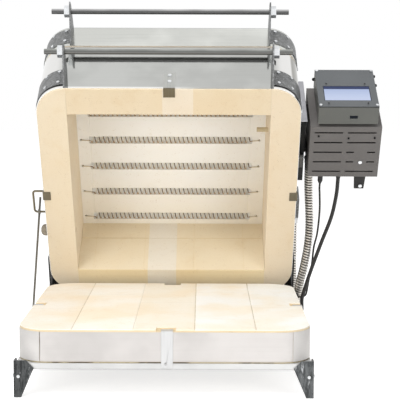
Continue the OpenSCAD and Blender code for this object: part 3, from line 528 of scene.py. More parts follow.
def leg_cells(m, col):
    x, y, z = m.axes(m.kiln)
    # Painted shade: the legs left of the middle are darker than those on the right, for the darker surroundings they
    # reflect.
    return m.mix(m.step(x, -0.05, 0.05), m.mix(1.0, col, lin(206, 206, 205), "MULTIPLY"), col)


def strap_cells(m, col):
    """Tan over the rim, where the straps take up the brick's dust."""
    x, y, z = m.axes(m.kiln)
    return m.mix(m.math("MULTIPLY", m.step(z, 0.1276, 0.1282), 0.85), col, lin(226, 204, 158))


def ring_cells_steel(m, col):
    """The ring's jacket: darker towards the lid on its right side as painted shade, pale at the corners as painted
    reflection, with a painted highlight on the bright turned edge and a painted shadow in the slit below the brackets.
    """
    x, y, z = m.axes(m.shut)
    ax = m.math("ABSOLUTE", x)
    ay = m.math("ABSOLUTE", y)
    # Painted reflection: the rounded corners are pale.
    corner_reflection = m.math("MULTIPLY", m.step(ax, 0.214, 0.240), m.step(ay, 0.190, 0.225))
    col = m.mix(m.math("MULTIPLY", corner_reflection, 0.85), col, lin(238, 237, 235))
    # Painted highlight: a pale strip along the turned edge.
    lip = m.math("MULTIPLY", m.band(z, 0.0016, 0.0080, 0.0005), m.math("SUBTRACT", 1.0, m.step(x, -0.04, 0.08)))
    # Painted shade: a dark strip on the right side, towards the lid.
    far = m.math("MULTIPLY", m.band(x, 0.2590, 0.2735, 0.0025), m.step(z, 0.072, 0.078))
    col = m.mix(m.math("MULTIPLY", far, 0.75), col, lin(92, 90, 78))
    lip = m.math("MAXIMUM", lip, m.math("MULTIPLY", m.band(z, 0.0012, 0.0098, 0.0003), m.step(ax, 0.2135, 0.2145)))
    col = m.mix(m.math("MULTIPLY", lip, 0.9), col, lin(246, 245, 242))
    # Painted shadow: a black line in the slit below the brackets.
    gap_shadow = m.math("MULTIPLY", m.band(z, 0.0103, 0.0162, 0.0003), m.math("MULTIPLY", m.step(ax, 0.2135, 0.2145), m.math("SUBTRACT", 1.0, m.step(y, -0.200, -0.198))))
    col = m.mix(m.math("MULTIPLY", gap_shadow, 0.95), col, lin(26, 25, 24))
    rim = m.math("SUBTRACT", 1.0, m.step(z, 0.0006, 0.0014))
    rim = m.math("MULTIPLY", rim, m.math("SUBTRACT", 1.0, m.step(x, -0.272, -0.268)))
    return m.mix(m.math("MULTIPLY", rim, 0.55), col, lin(134, 128, 116))


def clip_cells(m, col):
    """Grey-brown where a clip lies on the brick, plain steel where it lies on the jacket."""
    x, y, z = m.axes(m.shut)
    return m.mix(m.step(z, 0.0014, 0.0026), col, lin(194, 195, 191))


X_GRAIN = (0.02, 1, 1)
band_steel = sheet_steel("band_steel", lin(205, 201, 198), 0.50, X_GRAIN, 0.02, metallic=0.5, cells=band_cells, streak=0.08)
band_side_steel = sheet_steel("band_side_steel", lin(208, 205, 202), 0.60, X_GRAIN, 0.02, metallic=0.2, streak=0.08)
# The ring's and the lid's jackets are one steel: the lid's paler colour is painted light and the ring's darker colour
# painted shade.
jacket_steel = sheet_steel("jacket_steel", lin(194, 195, 192), 0.05, X_GRAIN, 0.012, cells=ring_cells_steel, streak=0.06)
lid_steel = sheet_steel("lid_steel", lin(219, 220, 215), 0.16, X_GRAIN, 0.03, streak=0.16)
strap_steel = sheet_steel("strap_steel", lin(206, 206, 206), 0.40, (1, 1, 0.04), 0.05, lin(168, 168, 168), 0.5, strap_cells)
rail_steel = sheet_steel("rail_steel", lin(206, 206, 205), 0.46, X_GRAIN, 0.05, metallic=0.5, cells=rail_cells, streak=0.15)
leg_steel = sheet_steel("leg_steel", lin(100, 102, 103), 0.34, (1, 1, 0.05), 0.16, lin(214, 215, 216), 1.0, leg_cells, 0.75)
clip_steel = sheet_steel("clip_steel", lin(118, 110, 92), 0.36, (1, 0.05, 0.05), 0.08, lin(190, 186, 176), 0.9, clip_cells)
cover_steel = sheet_steel("cover_steel", lin(196, 197, 198), 0.30, X_GRAIN, 0.10)
zinc_sheet = sheet_steel("zinc_sheet", lin(184, 184, 189), 0.40, (1, 1, 0.1), 0.08)
dark_bushing = sheet_steel("dark_bushing", lin(84, 83, 81), 0.28, (1, 1, 1), 0.0, lin(190, 190, 188))


def coated(name, tint, fleck, rough=0.45, metallic=0.35, scale=900, edge_tint=(190, 190, 190), wear=0.35, hatch=0.0, seam=False):
    """Hammered or powder coat with flecks, a fine skin and worn edges."""
    m = Mat(name, metallic=metallic, roughness=rough)
    spots = m.pits(scale)
    fine = m.noise(scale * 0.8, 2, 0.6)
    cloud = m.noise(12, 3, 0.5)
    col = m.mix(m.step(cloud, 0.35, 0.7), tint, tuple(c * 1.12 for c in tint[:3]) + (1,))
    col = m.mix(m.math("MULTIPLY", m.math("SUBTRACT", 1.0, m.step(spots, 0.12, 0.34)), 0.7), col, fleck)
    if hatch > 0:
        # Short crossed scratches, as on rough rolled plate.
        one = m.noise(310, 2, 0.6, vec=m.mapping(m.obj, rot=(0, 0.785, 0)), stretch=(1, 1, 0.18))
        two = m.noise(310, 2, 0.6, vec=m.mapping(m.obj, rot=(0, -0.785, 0)), stretch=(1, 1, 0.18))
        cross = m.math("MAXIMUM", m.step(one, 0.55, 0.66), m.step(two, 0.55, 0.66))
        col = m.mix(m.math("MULTIPLY", cross, hatch), col, fleck)
        low = m.math("MAXIMUM", m.step(m.math("SUBTRACT", 1.0, one), 0.58, 0.70), m.step(m.math("SUBTRACT", 1.0, two), 0.58, 0.70))
        col = m.mix(m.math("MULTIPLY", low, hatch), col, m.mix(1.0, col, lin(150, 150, 150), "MULTIPLY"))
    if seam:
        sx, sy, sz = m.axes(m.shut)
        front = m.math("MULTIPLY", m.math("SUBTRACT", 1.0, m.step(sz, 0.0016, 0.0022)), m.math("SUBTRACT", 1.0, m.step(sy, -0.2316, -0.2308)))
        col = m.mix(m.math("MULTIPLY", front, 0.9), col, lin(26, 26, 26))
    worn = m.math("MULTIPLY", m.edge(0.0009, 0.04, 0.35), m.step(m.noise(70, 4, 0.6), 0.35, 0.65))
    col = m.mix(m.math("MULTIPLY", worn, wear), col, lin(*edge_tint))
    m.set("Base Color", col)
    m.set("Roughness", m.math("ADD", rough - 0.08, m.math("MULTIPLY", m.noise(48, 4, 0.6), 0.2)))
    m.set("Normal", m.bump(m.math("ADD", fine, m.math("MULTIPLY", spots, 0.6)), 0.22, 0.0004))
    return m.m


bracket_coat = coated("bracket_coat", lin(110, 111, 111), lin(170, 171, 172), 0.42, 0.5, 620, hatch=0.55)
black_coat = coated("black_coat", lin(24, 23, 22), lin(44, 43, 41), 0.55, 0.0, 900, (110, 110, 108), 0.3)
box_coat = coated("box_coat", lin(99, 96, 94), lin(118, 115, 112), 0.50, 0.1, 1300, (160, 158, 154), 0.25)
shell_coat = coated("shell_coat", lin(91, 92, 88), lin(106, 106, 102), 0.44, 0.1, 1300, (158, 158, 155), 0.3, seam=True)
top_coat = coated("top_coat", lin(86, 89, 91), lin(100, 103, 105), 0.36, 0.1, 1300, (158, 160, 162), 0.3, seam=True)


def ground_rod(name, tint, rough=0.28, spin="x", shaded_underside=None, cells=None):
    """Ground rod or plated part. The colour given for its lower side paints that side darker, as painted shade where
    less light falls.
    """
    m = Mat(name, metallic=1.0, roughness=rough)
    ring = m.noise(420, 3, 0.6, stretch=(1, 0.05, 0.05) if spin == "x" else (1, 1, 1))
    blot = m.noise(16, 4, 0.6)
    col = m.mix(m.step(blot, 0.35, 0.7), tuple(c * 0.82 for c in tint[:3]) + (1,), tuple(min(1, c * 1.12) for c in tint[:3]) + (1,))
    if shaded_underside is not None:
        g = m.t.nodes.new("ShaderNodeNewGeometry")
        nx, ny, nz = m.axes(g.outputs["Normal"])
        # Painted shade: the lower side takes the darker colour.
        col = m.mix(m.step(nz, -0.1, 0.80), shaded_underside, col)
    stain = m.step(m.noise(34, 5, 0.7), 0.6, 0.78)
    col = m.mix(m.math("MULTIPLY", stain, 0.30), col, m.mix(1.0, col, lin(150, 146, 140), "MULTIPLY"))
    if cells is not None:
        col = cells(m, col)
    m.set("Base Color", col)
    m.set("Roughness", m.math("ADD", rough, m.math("MULTIPLY", ring, 0.12)))
    m.set("Normal", m.bump(ring, 0.10, 0.0003))
    return m.m


def screw_cells(m, col):
    """Three of the box's cover screws are black."""
    x, y, z = m.axes(m.shut)
    here = m.math("MULTIPLY", m.band(y, -0.172, -0.143), m.step(x, 0.294, 0.298))
    return m.mix(here, col, lin(34, 34, 35))


ring_rod_steel = ground_rod("ring_rod_steel", lin(168, 170, 166), 0.28, shaded_underside=lin(106, 106, 104))
lid_rod_steel = ground_rod("lid_rod_steel", lin(196, 196, 196), 0.28, shaded_underside=lin(94, 94, 94))
wire_steel = ground_rod("wire_steel", lin(124, 120, 112), 0.34, "z")
bail_steel = ground_rod("bail_steel", lin(122, 113, 94), 0.38, "z")
black_zinc = ground_rod("black_zinc", lin(62, 62, 62), 0.34, "z")
leg_zinc = ground_rod("leg_zinc", lin(206, 208, 209), 0.30, "z")
bright_zinc = ground_rod("bright_zinc", lin(230, 232, 234), 0.22, "z", cells=screw_cells)


def strip_metal(name):
    m = Mat(name, metallic=1.0, roughness=0.25)
    blot = m.noise(60, 4, 0.6)
    col = m.mix(m.step(blot, 0.35, 0.7), lin(208, 203, 195), lin(232, 228, 221))
    # Painted shade: the hollows between the ribs are darkened by a per-point attribute.
    attr = m.t.nodes.new("ShaderNodeAttribute")
    attr.attribute_name = "groove_shade"
    col = m.mix(m.math("MULTIPLY", attr.outputs["Fac"], 0.92), col, lin(58, 54, 49))
    m.set("Base Color", col)
    m.set("Roughness", m.math("ADD", 0.22, m.math("MULTIPLY", m.noise(240, 3, 0.6), 0.16)))
    m.set("Normal", m.bump(m.noise(400, 3, 0.6), 0.08, 0.0003))
    return m.m


conduit_metal = strip_metal("conduit_metal")
fitting_metal = sheet_steel("fitting_metal", lin(206, 206, 206), 0.28, (1, 1, 1), 0.0)


ROW_U0, ROW_STEP = 0.086, 0.073


def resistance_wire(name):
    """Oxidised wire: dark brown on top of each turn, paler below, painted pale at the back as painted light, dusty on
    the leads.
    """
    m = Mat(name, metallic=0.0, roughness=0.6)
    x, y, z = m.axes(m.shut)
    blot = m.noise(70, 4, 0.6)
    part = m.math("FRACT", m.math("ADD", m.math("DIVIDE", m.math("SUBTRACT", HALF / 1000 - ROW_U0, y), ROW_STEP), 0.5))
    v = m.math("MULTIPLY", m.math("SUBTRACT", part, 0.5), ROW_STEP)
    col = m.mix(m.step(v, -0.0060, 0.0065), lin(166, 134, 86), lin(84, 60, 28))
    col = m.mix(m.math("MULTIPLY", m.step(blot, 0.35, 0.7), 0.4), col, m.mix(1.0, col, lin(216, 200, 180), "MULTIPLY"))
    # Painted light: the far half of each turn is as pale as lit brick.
    back = m.step(z, (LID_D + 0.8) / 1000, (LID_D + 3.8) / 1000)
    col = m.mix(back, col, lin(240, 232, 216))
    lead = m.step(m.math("ABSOLUTE", m.math("ADD", x, 0.002)), 0.1835, 0.1865)
    col = m.mix(lead, col, lin(206, 194, 172))
    bloom = m.step(m.noise(300, 3, 0.6), 0.58, 0.75)
    col = m.mix(m.math("MULTIPLY", bloom, 0.15), col, lin(196, 178, 152))
    m.set("Base Color", col)
    m.set("Roughness", m.math("ADD", 0.5, m.math("MULTIPLY", blot, 0.25)))
    m.set("Normal", m.bump(m.noise(900, 3, 0.6), 0.15, 0.0002))
    return m.m


element_wire = resistance_wire("element_wire")


def moulded(name, tint, rough=0.55, lift=1.35, scale=700, specular=0.4):
    """Rubber or moulded plastic: a fine skin, faint dust and rubbed patches."""
    m = Mat(name, roughness=rough, specular=specular)
    dust = m.noise(40, 4, 0.6)
    col = m.mix(m.math("MULTIPLY", m.step(dust, 0.4, 0.75), 0.6), tint, tuple(min(1, c * lift + 0.004) for c in tint[:3]) + (1,))
    m.set("Base Color", col)
    m.set("Roughness", m.math("ADD", rough - 0.08, m.math("MULTIPLY", dust, 0.18)))
    m.set("Normal", m.bump(m.noise(scale, 3, 0.6), 0.12, 0.0003))
    return m.m


cord_rubber = moulded("cord_rubber", lin(44, 43, 42), 0.50)
black_plastic = moulded("black_plastic", lin(38, 38, 38), 0.48)

def knob_clay(name):
    """The plug's knob: a rough pressed clay, with a dimple in its end painted dark as shade."""
    m = Mat(name, roughness=0.75, specular=0.25)
    x, y, z = m.axes(m.shut)
    spots = m.noise(160, 4, 0.65)
    col = m.mix(m.step(spots, 0.35, 0.7), lin(160, 150, 134), lin(132, 122, 107))
    cy, cz = m.math("SUBTRACT", y, (HALF - PLUG_U) / 1000), m.math("SUBTRACT", z, PLUG_D / 1000)
    r = m.math("SQRT", m.math("ADD", m.math("MULTIPLY", cy, cy), m.math("MULTIPLY", cz, cz)))
    # Painted shade: the dimple in the knob's end is dark.
    near = m.math("MULTIPLY", m.math("SUBTRACT", 1.0, m.step(r, 0.0030, 0.0046)), m.math("SUBTRACT", 1.0, m.step(x, -0.2895, -0.2880)))
    col = m.mix(near, col, lin(38, 34, 30))
    m.set("Base Color", col)
    m.set("Roughness", m.math("ADD", 0.65, m.math("MULTIPLY", spots, 0.2)))
    m.set("Normal", m.bump(m.math("SUBTRACT", spots, m.math("MULTIPLY", near, 2.0)), 0.3, 0.0006))
    return m.m


plug_clay = knob_clay("plug_clay")


def fired_clay(name, tint):
    m = Mat(name, roughness=0.8, specular=0.25)
    spots = m.noise(120, 4, 0.6)
    col = m.mix(m.step(spots, 0.4, 0.7), tint, tuple(c * 0.88 for c in tint[:3]) + (1,))
    m.set("Base Color", col)
    m.set("Normal", m.bump(m.noise(500, 3, 0.6), 0.2, 0.0004))
    return m.m


tube_clay = fired_clay("tube_clay", lin(205, 190, 158))
board_white = fired_clay("board_white", lin(238, 236, 230))


def screen_glass(name):
    """A lit screen with a darker bar along its top, under glossy glass."""
    m = Mat(name, roughness=0.12, color=lin(28, 32, 38), specular=0.12)
    x, y, z = m.axes(m.shut)
    # Seen from the front, the screen's upper edge is the one towards the lid.
    d = z
    body = m.ramp(m.step(d, 0.026, 0.081), [(0.0, lin(192, 202, 227)), (0.45, lin(182, 194, 222)), (0.8, lin(172, 185, 216)), (1.0, lin(150, 166, 204))])
    bar = m.step(d, 0.0690, 0.0704)
    col = m.mix(bar, body, lin(30, 42, 84))
    rule = m.math("MULTIPLY", m.line(d, 0.0525, 0.0005), 0.25)
    col = m.mix(rule, col, lin(150, 164, 196))
    rim = m.math("MULTIPLY", m.band(x, 0.3264, 0.4216, 0.0003), m.band(d, 0.0268, 0.0800, 0.0003))
    col = m.mix(rim, lin(30, 33, 40), col)
    weave = m.noise(1500, 1, 0.5)
    col = m.mix(m.math("MULTIPLY", weave, 0.10), col, lin(120, 136, 176))
    m.set("Base Color", m.mix(0.75, col, lin(20, 22, 26)))
    m.set("Emission Color", col)
    m.p.inputs["Emission Strength"].default_value = 0.75
    m.p.inputs["Coat Weight"].default_value = 0.08
    m.p.inputs["Coat Roughness"].default_value = 0.05
    m.set("Roughness", m.math("ADD", 0.08, m.math("MULTIPLY", m.noise(30, 4, 0.6), 0.14)))
    m.set("Normal", m.bump(m.noise(12, 2, 0.5), 0.02, 0.001))
    return m.m


screen = screen_glass("screen")

# ---------------------------------------------------------------- cords
conduit_start = shell(306, 314, 75)
lid_gland = shell(289, 62, LID_D + 26)
conduit_end = lid_gland - np.array([0, 0, 14.0])
conduit_pts = [
    conduit_start, conduit_start + 20 * DOWN_FACE, [307, 239, 358], [309, 249, 324], [312, 258, 270],
    [310, 268, 220], [302, 283, 165], [296, 292, 137], [292, 303, 110], [291, 319, 87], [291, 346, 69],
    [290, 373, 64], [289, 399, 69], [289, 427, 87], [289, 445, 115], [289, conduit_end[1], 142],
    [289, conduit_end[1], 170], [289, conduit_end[1], conduit_end[2] - 49],
    conduit_end - np.array([0, 0, 20.0]), conduit_end]
conduit_line = even(curve(conduit_pts, 4), 0.55)
conduit_line = even(relax(conduit_line, 11, 40), 0.55)

RIB = 6.4
CONDUIT_R = 9.5


def rib_depth(phase):
    """How far a ribbed strip's surface is below its crest, over one rib."""
    f = phase % 1.0
    return 2.1 * np.clip((np.abs(f - 0.5) - 0.26) / 0.08, 0, 1)


steps = np.concatenate([[0], np.cumsum(np.linalg.norm(np.diff(conduit_line, axis=0), axis=1))])


def conduit_wave(i, ang):
    f = (steps[i] / RIB + ang / (2 * math.pi)) % 1.0
    crown = 0.45 * (2 * np.abs(f - 0.5)) ** 2
    return CONDUIT_R - crown - rib_depth(f)


verts, faces = tube(conduit_line, CONDUIT_R, 28, (1, 0, 0), True, conduit_wave)
conduit = mesh_piece("conduit_hose", verts, faces, conduit_metal)
# Painted shade: how dark each point of the hose is painted, deepest between the ribs.
groove_shade = conduit.data.attributes.new("groove_shade", "FLOAT", "POINT")
vals = []
for i in range(len(conduit_line)):
    f = (steps[i] / RIB + np.arange(28) / 28.0) % 1.0
    vals.append(np.clip(rib_depth(f) / 1.5, 0, 1))
groove_shade.data.foreach_set("value", np.concatenate(vals).astype(np.float32))

MAINS_R = 4.2
mains_start = shell(367, 304, 32)
mains_upper = [mains_start, mains_start + 12 * DOWN_FACE, [366, 205, 337], [358, 229, 286], [339, 249, 228],
               [318, 264, 164], [304, 271, 118], [298, 274, 96], [298, 274, 79.1]]
mains_lower = [[298, 274, 74.6], [298, 274, 60], [299, 277, 38], [300, 291, 14], [301, 314, 4.5],
               [296, 340, 4.3], [286.475, 372, 4.3], [286.475, 387.6, 4.3]]
mid, step_r = np.array([232.0, 396.0]), 9.1
r_in, turns = 34.0, 2.25
r_out = r_in + turns * step_r
coil = []
for i in range(0, int(turns * 48) + 1):
    a, r = math.radians(7.5 * i), r_out - step_r * i / 48
    coil.append([mid[0] + r * math.cos(a), mid[1] + r * math.sin(a), 4.3])
for i in range(1, 25):
    t = i / 24
    a, r = math.radians(810 + 7.5 * i), r_in - step_r / 4 * math.sin(math.pi * t)
    coil.append([mid[0] + r * math.cos(a), mid[1] + r * math.sin(a), 4.3 + 9.0 * (1 - math.cos(math.pi * t)) / 2])
for i in range(1, int(turns * 48) + 1):
    a, r = math.radians(990 + 7.5 * i), r_in + step_r * i / 48
    coil.append([mid[0] + r * math.cos(a), mid[1] + r * math.sin(a), 13.3])
coil.append([coil[-1][0], coil[-1][1] + 8.4, 13.3])
lead = even(curve(mains_upper[:-1] + [[298, 274, 77]] + mains_lower[1:], 3), 3.0)
lead = even(relax(lead, 5, 20), 3.0)
mains_line = np.concatenate([lead, np.array(coil)])
mains_line = even(mains_line, 2.6)
verts, faces = tube(mains_line, MAINS_R, 16, (1, 0, 0))
mains = mesh_piece("mains_lead", verts, faces, cord_rubber)

SENSOR_R = 2.2
sensor_start = shell(328, 288, 32)
switch_pt = shell(290, 7, -27)
sensor_pts = [sensor_start, sensor_start + 14 * DOWN_FACE, [329, 201, 338], [330, 210, 300], [327, 228, 250],
              [322, 256, 214], [320, 281, 170], [314, 290, 132], [310, 290, 108], [307, 290, 99],
              switch_pt + np.array([9, 0, 0.2]), switch_pt + np.array([0.2, 0, 0])]
sensor_line = even(curve(sensor_pts, 1.5), 1.5)
sensor_line = even(relax(sensor_line, 3, 10), 1.5)
verts, faces = tube(sensor_line, SENSOR_R, 12, (1, 0, 0))
sensor = mesh_piece("sensor_lead", verts, faces, cord_rubber)


# ---------------------------------------------------------------- heating elements
heap = Heap()
COIL_R, WIRE_R, COIL_X0, COIL_X1, PITCH = 7.6, 1.1, -182.0, 178.0, 10.0
for k in range(6):
    u = 86 + 73 * k
    turns_n = (COIL_X1 - COIL_X0) / PITCH
    n = int(turns_n * 18)
    i = np.arange(n + 1)
    a = 2 * math.pi * turns_n * i / n
    local = np.stack([COIL_X0 + (COIL_X1 - COIL_X0) * i / n, COIL_R * np.sin(a), 3.6 - COIL_R * np.cos(a)], axis=1)
    head = np.array([[-205, 0, 16], [-205, 0, 2], [-204, 0, -0.9], [-201.5, 0, -1.8], [-192, 0, -2.4]], float)
    tail = np.array([[188, 0, -2.4], [195.5, 0, -1.8], [198, 0, -0.9], [199, 0, 2], [199, 0, 16]], float)
    head = curve(list(head) + [local[0]], 2.0)[:-1]
    tail = curve([local[-1]] + list(tail), 2.0)[1:]
    path = np.concatenate([head, local, tail])
    # Each row sags a little by itself, as a used coil does.
    wob = 0.35 * np.sin(path[:, 0] * 0.045 + 1.7 * k)
    pts = np.array([shell(p[0], u - p[1] + w, LID_D + p[2]) for p, w in zip(path, wob)])
    v, f = tube(pts, WIRE_R, 7, (1, 0, 0))
    heap.add(v, f)
elements = mesh_piece("element_coils", heap.verts, heap.faces, element_wire)

# ---------------------------------------------------------------- small screws on the controls
heap = Heap()


def head(centre, along, radius, height):
    """A low round screw head; along is its axis in the shell's x, u, d."""
    a = np.array(along, float)
    side = np.cross(a, [0.3, 0.5, 0.8])
    side /= np.linalg.norm(side)
    over = np.cross(a, side)
    rings = [(radius, 0.0), (radius, height * 0.45), (radius * 0.8, height * 0.85), (radius * 0.35, height)]
    verts, faces = [], []
    for r, h in rings:
        for k in range(16):
            t = 2 * math.pi * k / 16
            q = np.array(centre, float) + a * h + side * r * math.cos(t) + over * r * math.sin(t)
            verts.append(shell(*q))
    for i in range(len(rings) - 1):
        for k in range(16):
            m = (k + 1) % 16
            faces.append((16 * i + k, 16 * i + m, 16 * i + 16 + m, 16 * i + 16 + k))
    faces.append(tuple(range(15, -1, -1)))
    faces.append(tuple(48 + k for k in range(16)))
    heap.add(verts, faces)


for x, d in ((332.4, 87.6), (414.2, 87.8), (333.0, 12.6), (414.8, 12.8)):
    head((x, 510.9, d), (0, 1, 0), 1.9, 0.9)
for u, d in ((500, 133), (500, 97)):
    head((436.9, u, d), (1, 0, 0), 3.6, 5.2)
head((312.1, 488, 140), (-1, 0, 0), 3.6, 5.2)
panel_screws = mesh_piece("panel_screws", heap.verts, heap.faces, None)

# ---------------------------------------------------------------- materials of the CAD nodes
finish = {
    "floor_bricks": brick_slab, "wall_left": brick_left, "wall_right": brick_right, "wall_front": brick_front,
    "wall_rear": brick_rear, "lid_bricks": brick_lid, "lid_insulation": board_white,
    "base_band": band_side_steel, "base_band_front": band_steel, "ring_jacket": jacket_steel,
    "lid_jacket": lid_steel, "lid_cover": cover_steel, "rim_straps": strap_steel, "face_clips": clip_steel,
    "stand_frame": rail_steel, "front_legs": leg_steel, "rear_legs": leg_steel, "prop_catch": leg_steel,
    "ring_bracket_left": bracket_coat, "ring_bracket_right": bracket_coat, "lid_bracket_left": bracket_coat,
    "lid_bracket_right": bracket_coat, "ring_rear_brackets": bracket_coat, "lid_rear_brackets": bracket_coat,
    "terminal_cover": bracket_coat, "stand_screws": leg_zinc, "hinge_bolts": bright_zinc,
    "ring_fasteners": bright_zinc, "lid_fasteners": bright_zinc, "base_hinge_plates": black_coat,
    # The control standoff is a real part, and its black coat also stands in as painted shade for the space between the
    # ring and the box.
    "ring_hinge_plates": black_coat, "control_standoff": black_coat, "cable_tab": black_coat,
    "ring_handle_rod": ring_rod_steel, "lid_handle_rod": lid_rod_steel, "lid_hinge_rod": ring_rod_steel,
    "prop_bail": bail_steel, "prop_rod": wire_steel, "thermocouple": tube_clay, "side_bushing": dark_bushing,
    "control_bracket": zinc_sheet, "relay_box": box_coat, "relay_box_cover": box_coat, "relay": black_plastic,
    "cord_glands": black_plastic, "hinge_switch": black_plastic, "peephole_plug": plug_clay,
    "mains_plug": black_plastic, "box_conduit_fitting": fitting_metal, "lid_conduit_fitting": fitting_metal,
    "controller_housing": shell_coat, "controller_bezel": top_coat, "display_screen": screen,
    "conduit": conduit_metal, "mains_cord_upper": cord_rubber, "mains_cord_lower": cord_rubber,
    "mains_coil": cord_rubber, "sensor_cable": cord_rubber, "heating_elements": element_wire,
}
rounding = {
    "floor_bricks": 1.2, "wall_left": 1.0, "wall_right": 1.0, "wall_front": 0.7, "wall_rear": 0.7, "lid_bricks": 0.6,
    "controller_housing": 1.2, "controller_bezel": 0.7, "relay_box": 0.7, "relay_box_cover": 0.35,
    "base_band": 0.3, "base_band_front": 0.3, "rim_straps": 0.4, "stand_frame": 0.6, "front_legs": 0.5,
    "rear_legs": 0.5, "ring_bracket_left": 0.4, "ring_bracket_right": 0.4, "lid_bracket_left": 0.4,
    "lid_bracket_right": 0.4, "face_clips": 0.4, "control_bracket": 0.4, "control_standoff": 0.4, "cable_tab": 0.4,
    "hinge_switch": 0.8, "relay": 0.8, "terminal_cover": 0.8, "ring_fasteners": 0.35, "lid_fasteners": 0.35,
    "stand_screws": 0.35, "hinge_bolts": 0.5, "base_hinge_plates": 0.4, "ring_hinge_plates": 0.4,
    "ring_handle_rod": 0.8, "lid_handle_rod": 0.8, "prop_catch": 0.4, "side_bushing": 0.5, "peephole_plug": 1.2,
    "mains_plug": 1.2, "cord_glands": 0.5, "box_conduit_fitting": 0.5, "lid_conduit_fitting": 0.5,
    "ring_rear_brackets": 0.4, "lid_rear_brackets": 0.4, "lid_cover": 0.4, "lid_jacket": 0.3, "ring_jacket": 0.3,
}


def by_angle():
    """Modifier nodes that shade smooth, with edges sharper than 32 degrees kept."""
    g = bpy.data.node_groups.new("smooth_by_angle", "GeometryNodeTree")
    g.interface.new_socket("Geometry", in_out="INPUT", socket_type="NodeSocketGeometry")
    g.interface.new_socket("Geometry", in_out="OUTPUT", socket_type="NodeSocketGeometry")
    gi, go = g.nodes.new("NodeGroupInput"), g.nodes.new("NodeGroupOutput")
    face = g.nodes.new("GeometryNodeSetShadeSmooth")
    face.domain = "FACE"
    edge = g.nodes.new("GeometryNodeSetShadeSmooth")
    edge.domain = "EDGE"
    edge.inputs["Shade Smooth"].default_value = False
    ang = g.nodes.new("GeometryNodeInputMeshEdgeAngle")
    cmp_ = g.nodes.new("FunctionNodeCompare")
    cmp_.operation = "GREATER_THAN"
    cmp_.inputs[1].default_value = math.radians(32)
    g.links.new(ang.outputs["Unsigned Angle"], cmp_.inputs[0])
    g.links.new(gi.outputs[0], face.inputs[0])
    g.links.new(face.outputs[0], edge.inputs[0])
    g.links.new(cmp_.outputs[0], edge.inputs["Selection"])
    g.links.new(edge.outputs[0], go.inputs[0])
    return g


smooth_group = by_angle()
for name, ob in nodes.items():
    ob.data.materials.clear()
    ob.data.materials.append(finish[name])
    if "custom_normal" in ob.data.attributes:
        ob.data.attributes.remove(ob.data.attributes["custom_normal"])
    weld = ob.modifiers.new("weld", "WELD")
    weld.merge_threshold = 0.00001
    if name in rounding:
        bev = ob.modifiers.new("round", "BEVEL")
        bev.width = rounding[name] / 1000.0
        bev.segments = 2
        bev.limit_method = "ANGLE"
        bev.angle_limit = math.radians(38)
        bev.use_clamp_overlap = True
        bev.miter_outer = "MITER_ARC"
    sm = ob.modifiers.new("smooth", "NODES")
    sm.node_group = smooth_group
    if name in rounding:
        # Flat faces stay flat in their reflections, next to the rounded edges.
        flat = ob.modifiers.new("flat_faces", "WEIGHTED_NORMAL")
        flat.mode = "FACE_AREA"
        flat.weight = 90
        flat.keep_sharp = True

# ---------------------------------------------------------------- riding and hiding
panel_screws.data.materials.append(black_zinc)
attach(panel_screws, "ring")
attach(elements, "lid")
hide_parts("heating_elements")

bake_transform(conduit)
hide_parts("conduit")

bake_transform(mains)
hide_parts("mains_cord_upper", "mains_cord_lower", "mains_coil")

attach(sensor, "ring")
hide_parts("sensor_cable")

# ---------------------------------------------------------------- floor, light, world


def pale_floor(name):
    """Takes the object's shadow, and is white to the camera, to metal and to glass where nothing shades it."""
    m = Mat(name, roughness=0.9, specular=0.1)
    fine = m.noise(3.0, 3, 0.5)
    m.set("Base Color", m.mix(fine, (0.75, 0.75, 0.75, 1), (0.78, 0.78, 0.78, 1)))
    path = m.t.nodes.new("ShaderNodeLightPath")
    seen = m.math("MAXIMUM", m.math("MAXIMUM", path.outputs["Is Camera Ray"], path.outputs["Is Glossy Ray"]),
                  path.outputs["Is Transmission Ray"])
    glow = m.t.nodes.new("ShaderNodeEmission")
    glow.inputs[0].default_value = (1, 1, 1, 1)
    m.put(glow.inputs[1], m.math("MULTIPLY", seen, 0.74))
    add = m.t.nodes.new("ShaderNodeAddShader")
    m.t.links.new(m.p.outputs[0], add.inputs[0])
    m.t.links.new(glow.outputs[0], add.inputs[1])
    m.t.links.new(add.outputs[0], m.out.inputs[0])
    return m.m


floor = mesh_piece("floor", [[-12, -12, -0.0006], [12, -12, -0.0006], [12, 12, -0.0006], [-12, 12, -0.0006]],
                   [(0, 1, 2, 3)], pale_floor("floor_pale"), smooth=False, metres=True)

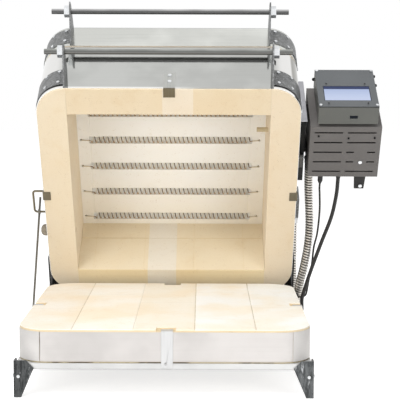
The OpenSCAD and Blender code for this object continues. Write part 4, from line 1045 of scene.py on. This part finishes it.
world = bpy.data.worlds.new("world")
bpy.context.scene.world = world
world.use_nodes = True
wt = world.node_tree
wt.nodes.clear()
wo = wt.nodes.new("ShaderNodeOutputWorld")
plain = wt.nodes.new("ShaderNodeBackground")
plain.inputs[0].default_value = (1, 1, 1, 1)
plain.inputs[1].default_value = 0.36
seen = wt.nodes.new("ShaderNodeBackground")
seen.inputs[0].default_value = (1, 1, 1, 1)
seen.inputs[1].default_value = 1.0
path_node = wt.nodes.new("ShaderNodeLightPath")
m1 = wt.nodes.new("ShaderNodeMath")
m1.operation = "MAXIMUM"
m2 = wt.nodes.new("ShaderNodeMath")
m2.operation = "MAXIMUM"
wt.links.new(path_node.outputs["Is Camera Ray"], m1.inputs[0])
wt.links.new(path_node.outputs["Is Glossy Ray"], m1.inputs[1])
wt.links.new(m1.outputs[0], m2.inputs[0])
wt.links.new(path_node.outputs["Is Transmission Ray"], m2.inputs[1])
mx = wt.nodes.new("ShaderNodeMixShader")
wt.links.new(m2.outputs[0], mx.inputs[0])
wt.links.new(plain.outputs[0], mx.inputs[1])
wt.links.new(seen.outputs[0], mx.inputs[2])
wt.links.new(mx.outputs[0], wo.inputs[0])


def area(name, where, look, size, power, tint=(1, 1, 1)):
    d = bpy.data.lights.new(name, "AREA")
    d.shape = "RECTANGLE"
    d.size, d.size_y = size
    d.energy = power
    d.color = tint
    o = bpy.data.objects.new(name, d)
    o.visible_glossy = False
    bpy.context.scene.collection.objects.link(o)
    way = Vector(look) - Vector(where)
    o.matrix_world = Matrix.Translation(Vector(where)) @ way.to_track_quat("-Z", "Y").to_matrix().to_4x4()
    return o


area("key_light", (-0.7, -1.9, 3.0), (0, 0, 0.2), (1.8, 1.8), 72)
area("front_left_light", (-1.6, -2.4, 0.65), (0, 0.1, 0.35), (1.3, 1.1), 22)
area("front_right_light", (1.6, -2.4, 0.65), (0, 0.1, 0.35), (1.3, 1.1), 22)
area("top_light", (0, 0.3, 3.0), (0, 0, 0.2), (2.2, 2.2), 12)

scene = bpy.context.scene
scene.view_settings.view_transform = "Standard"
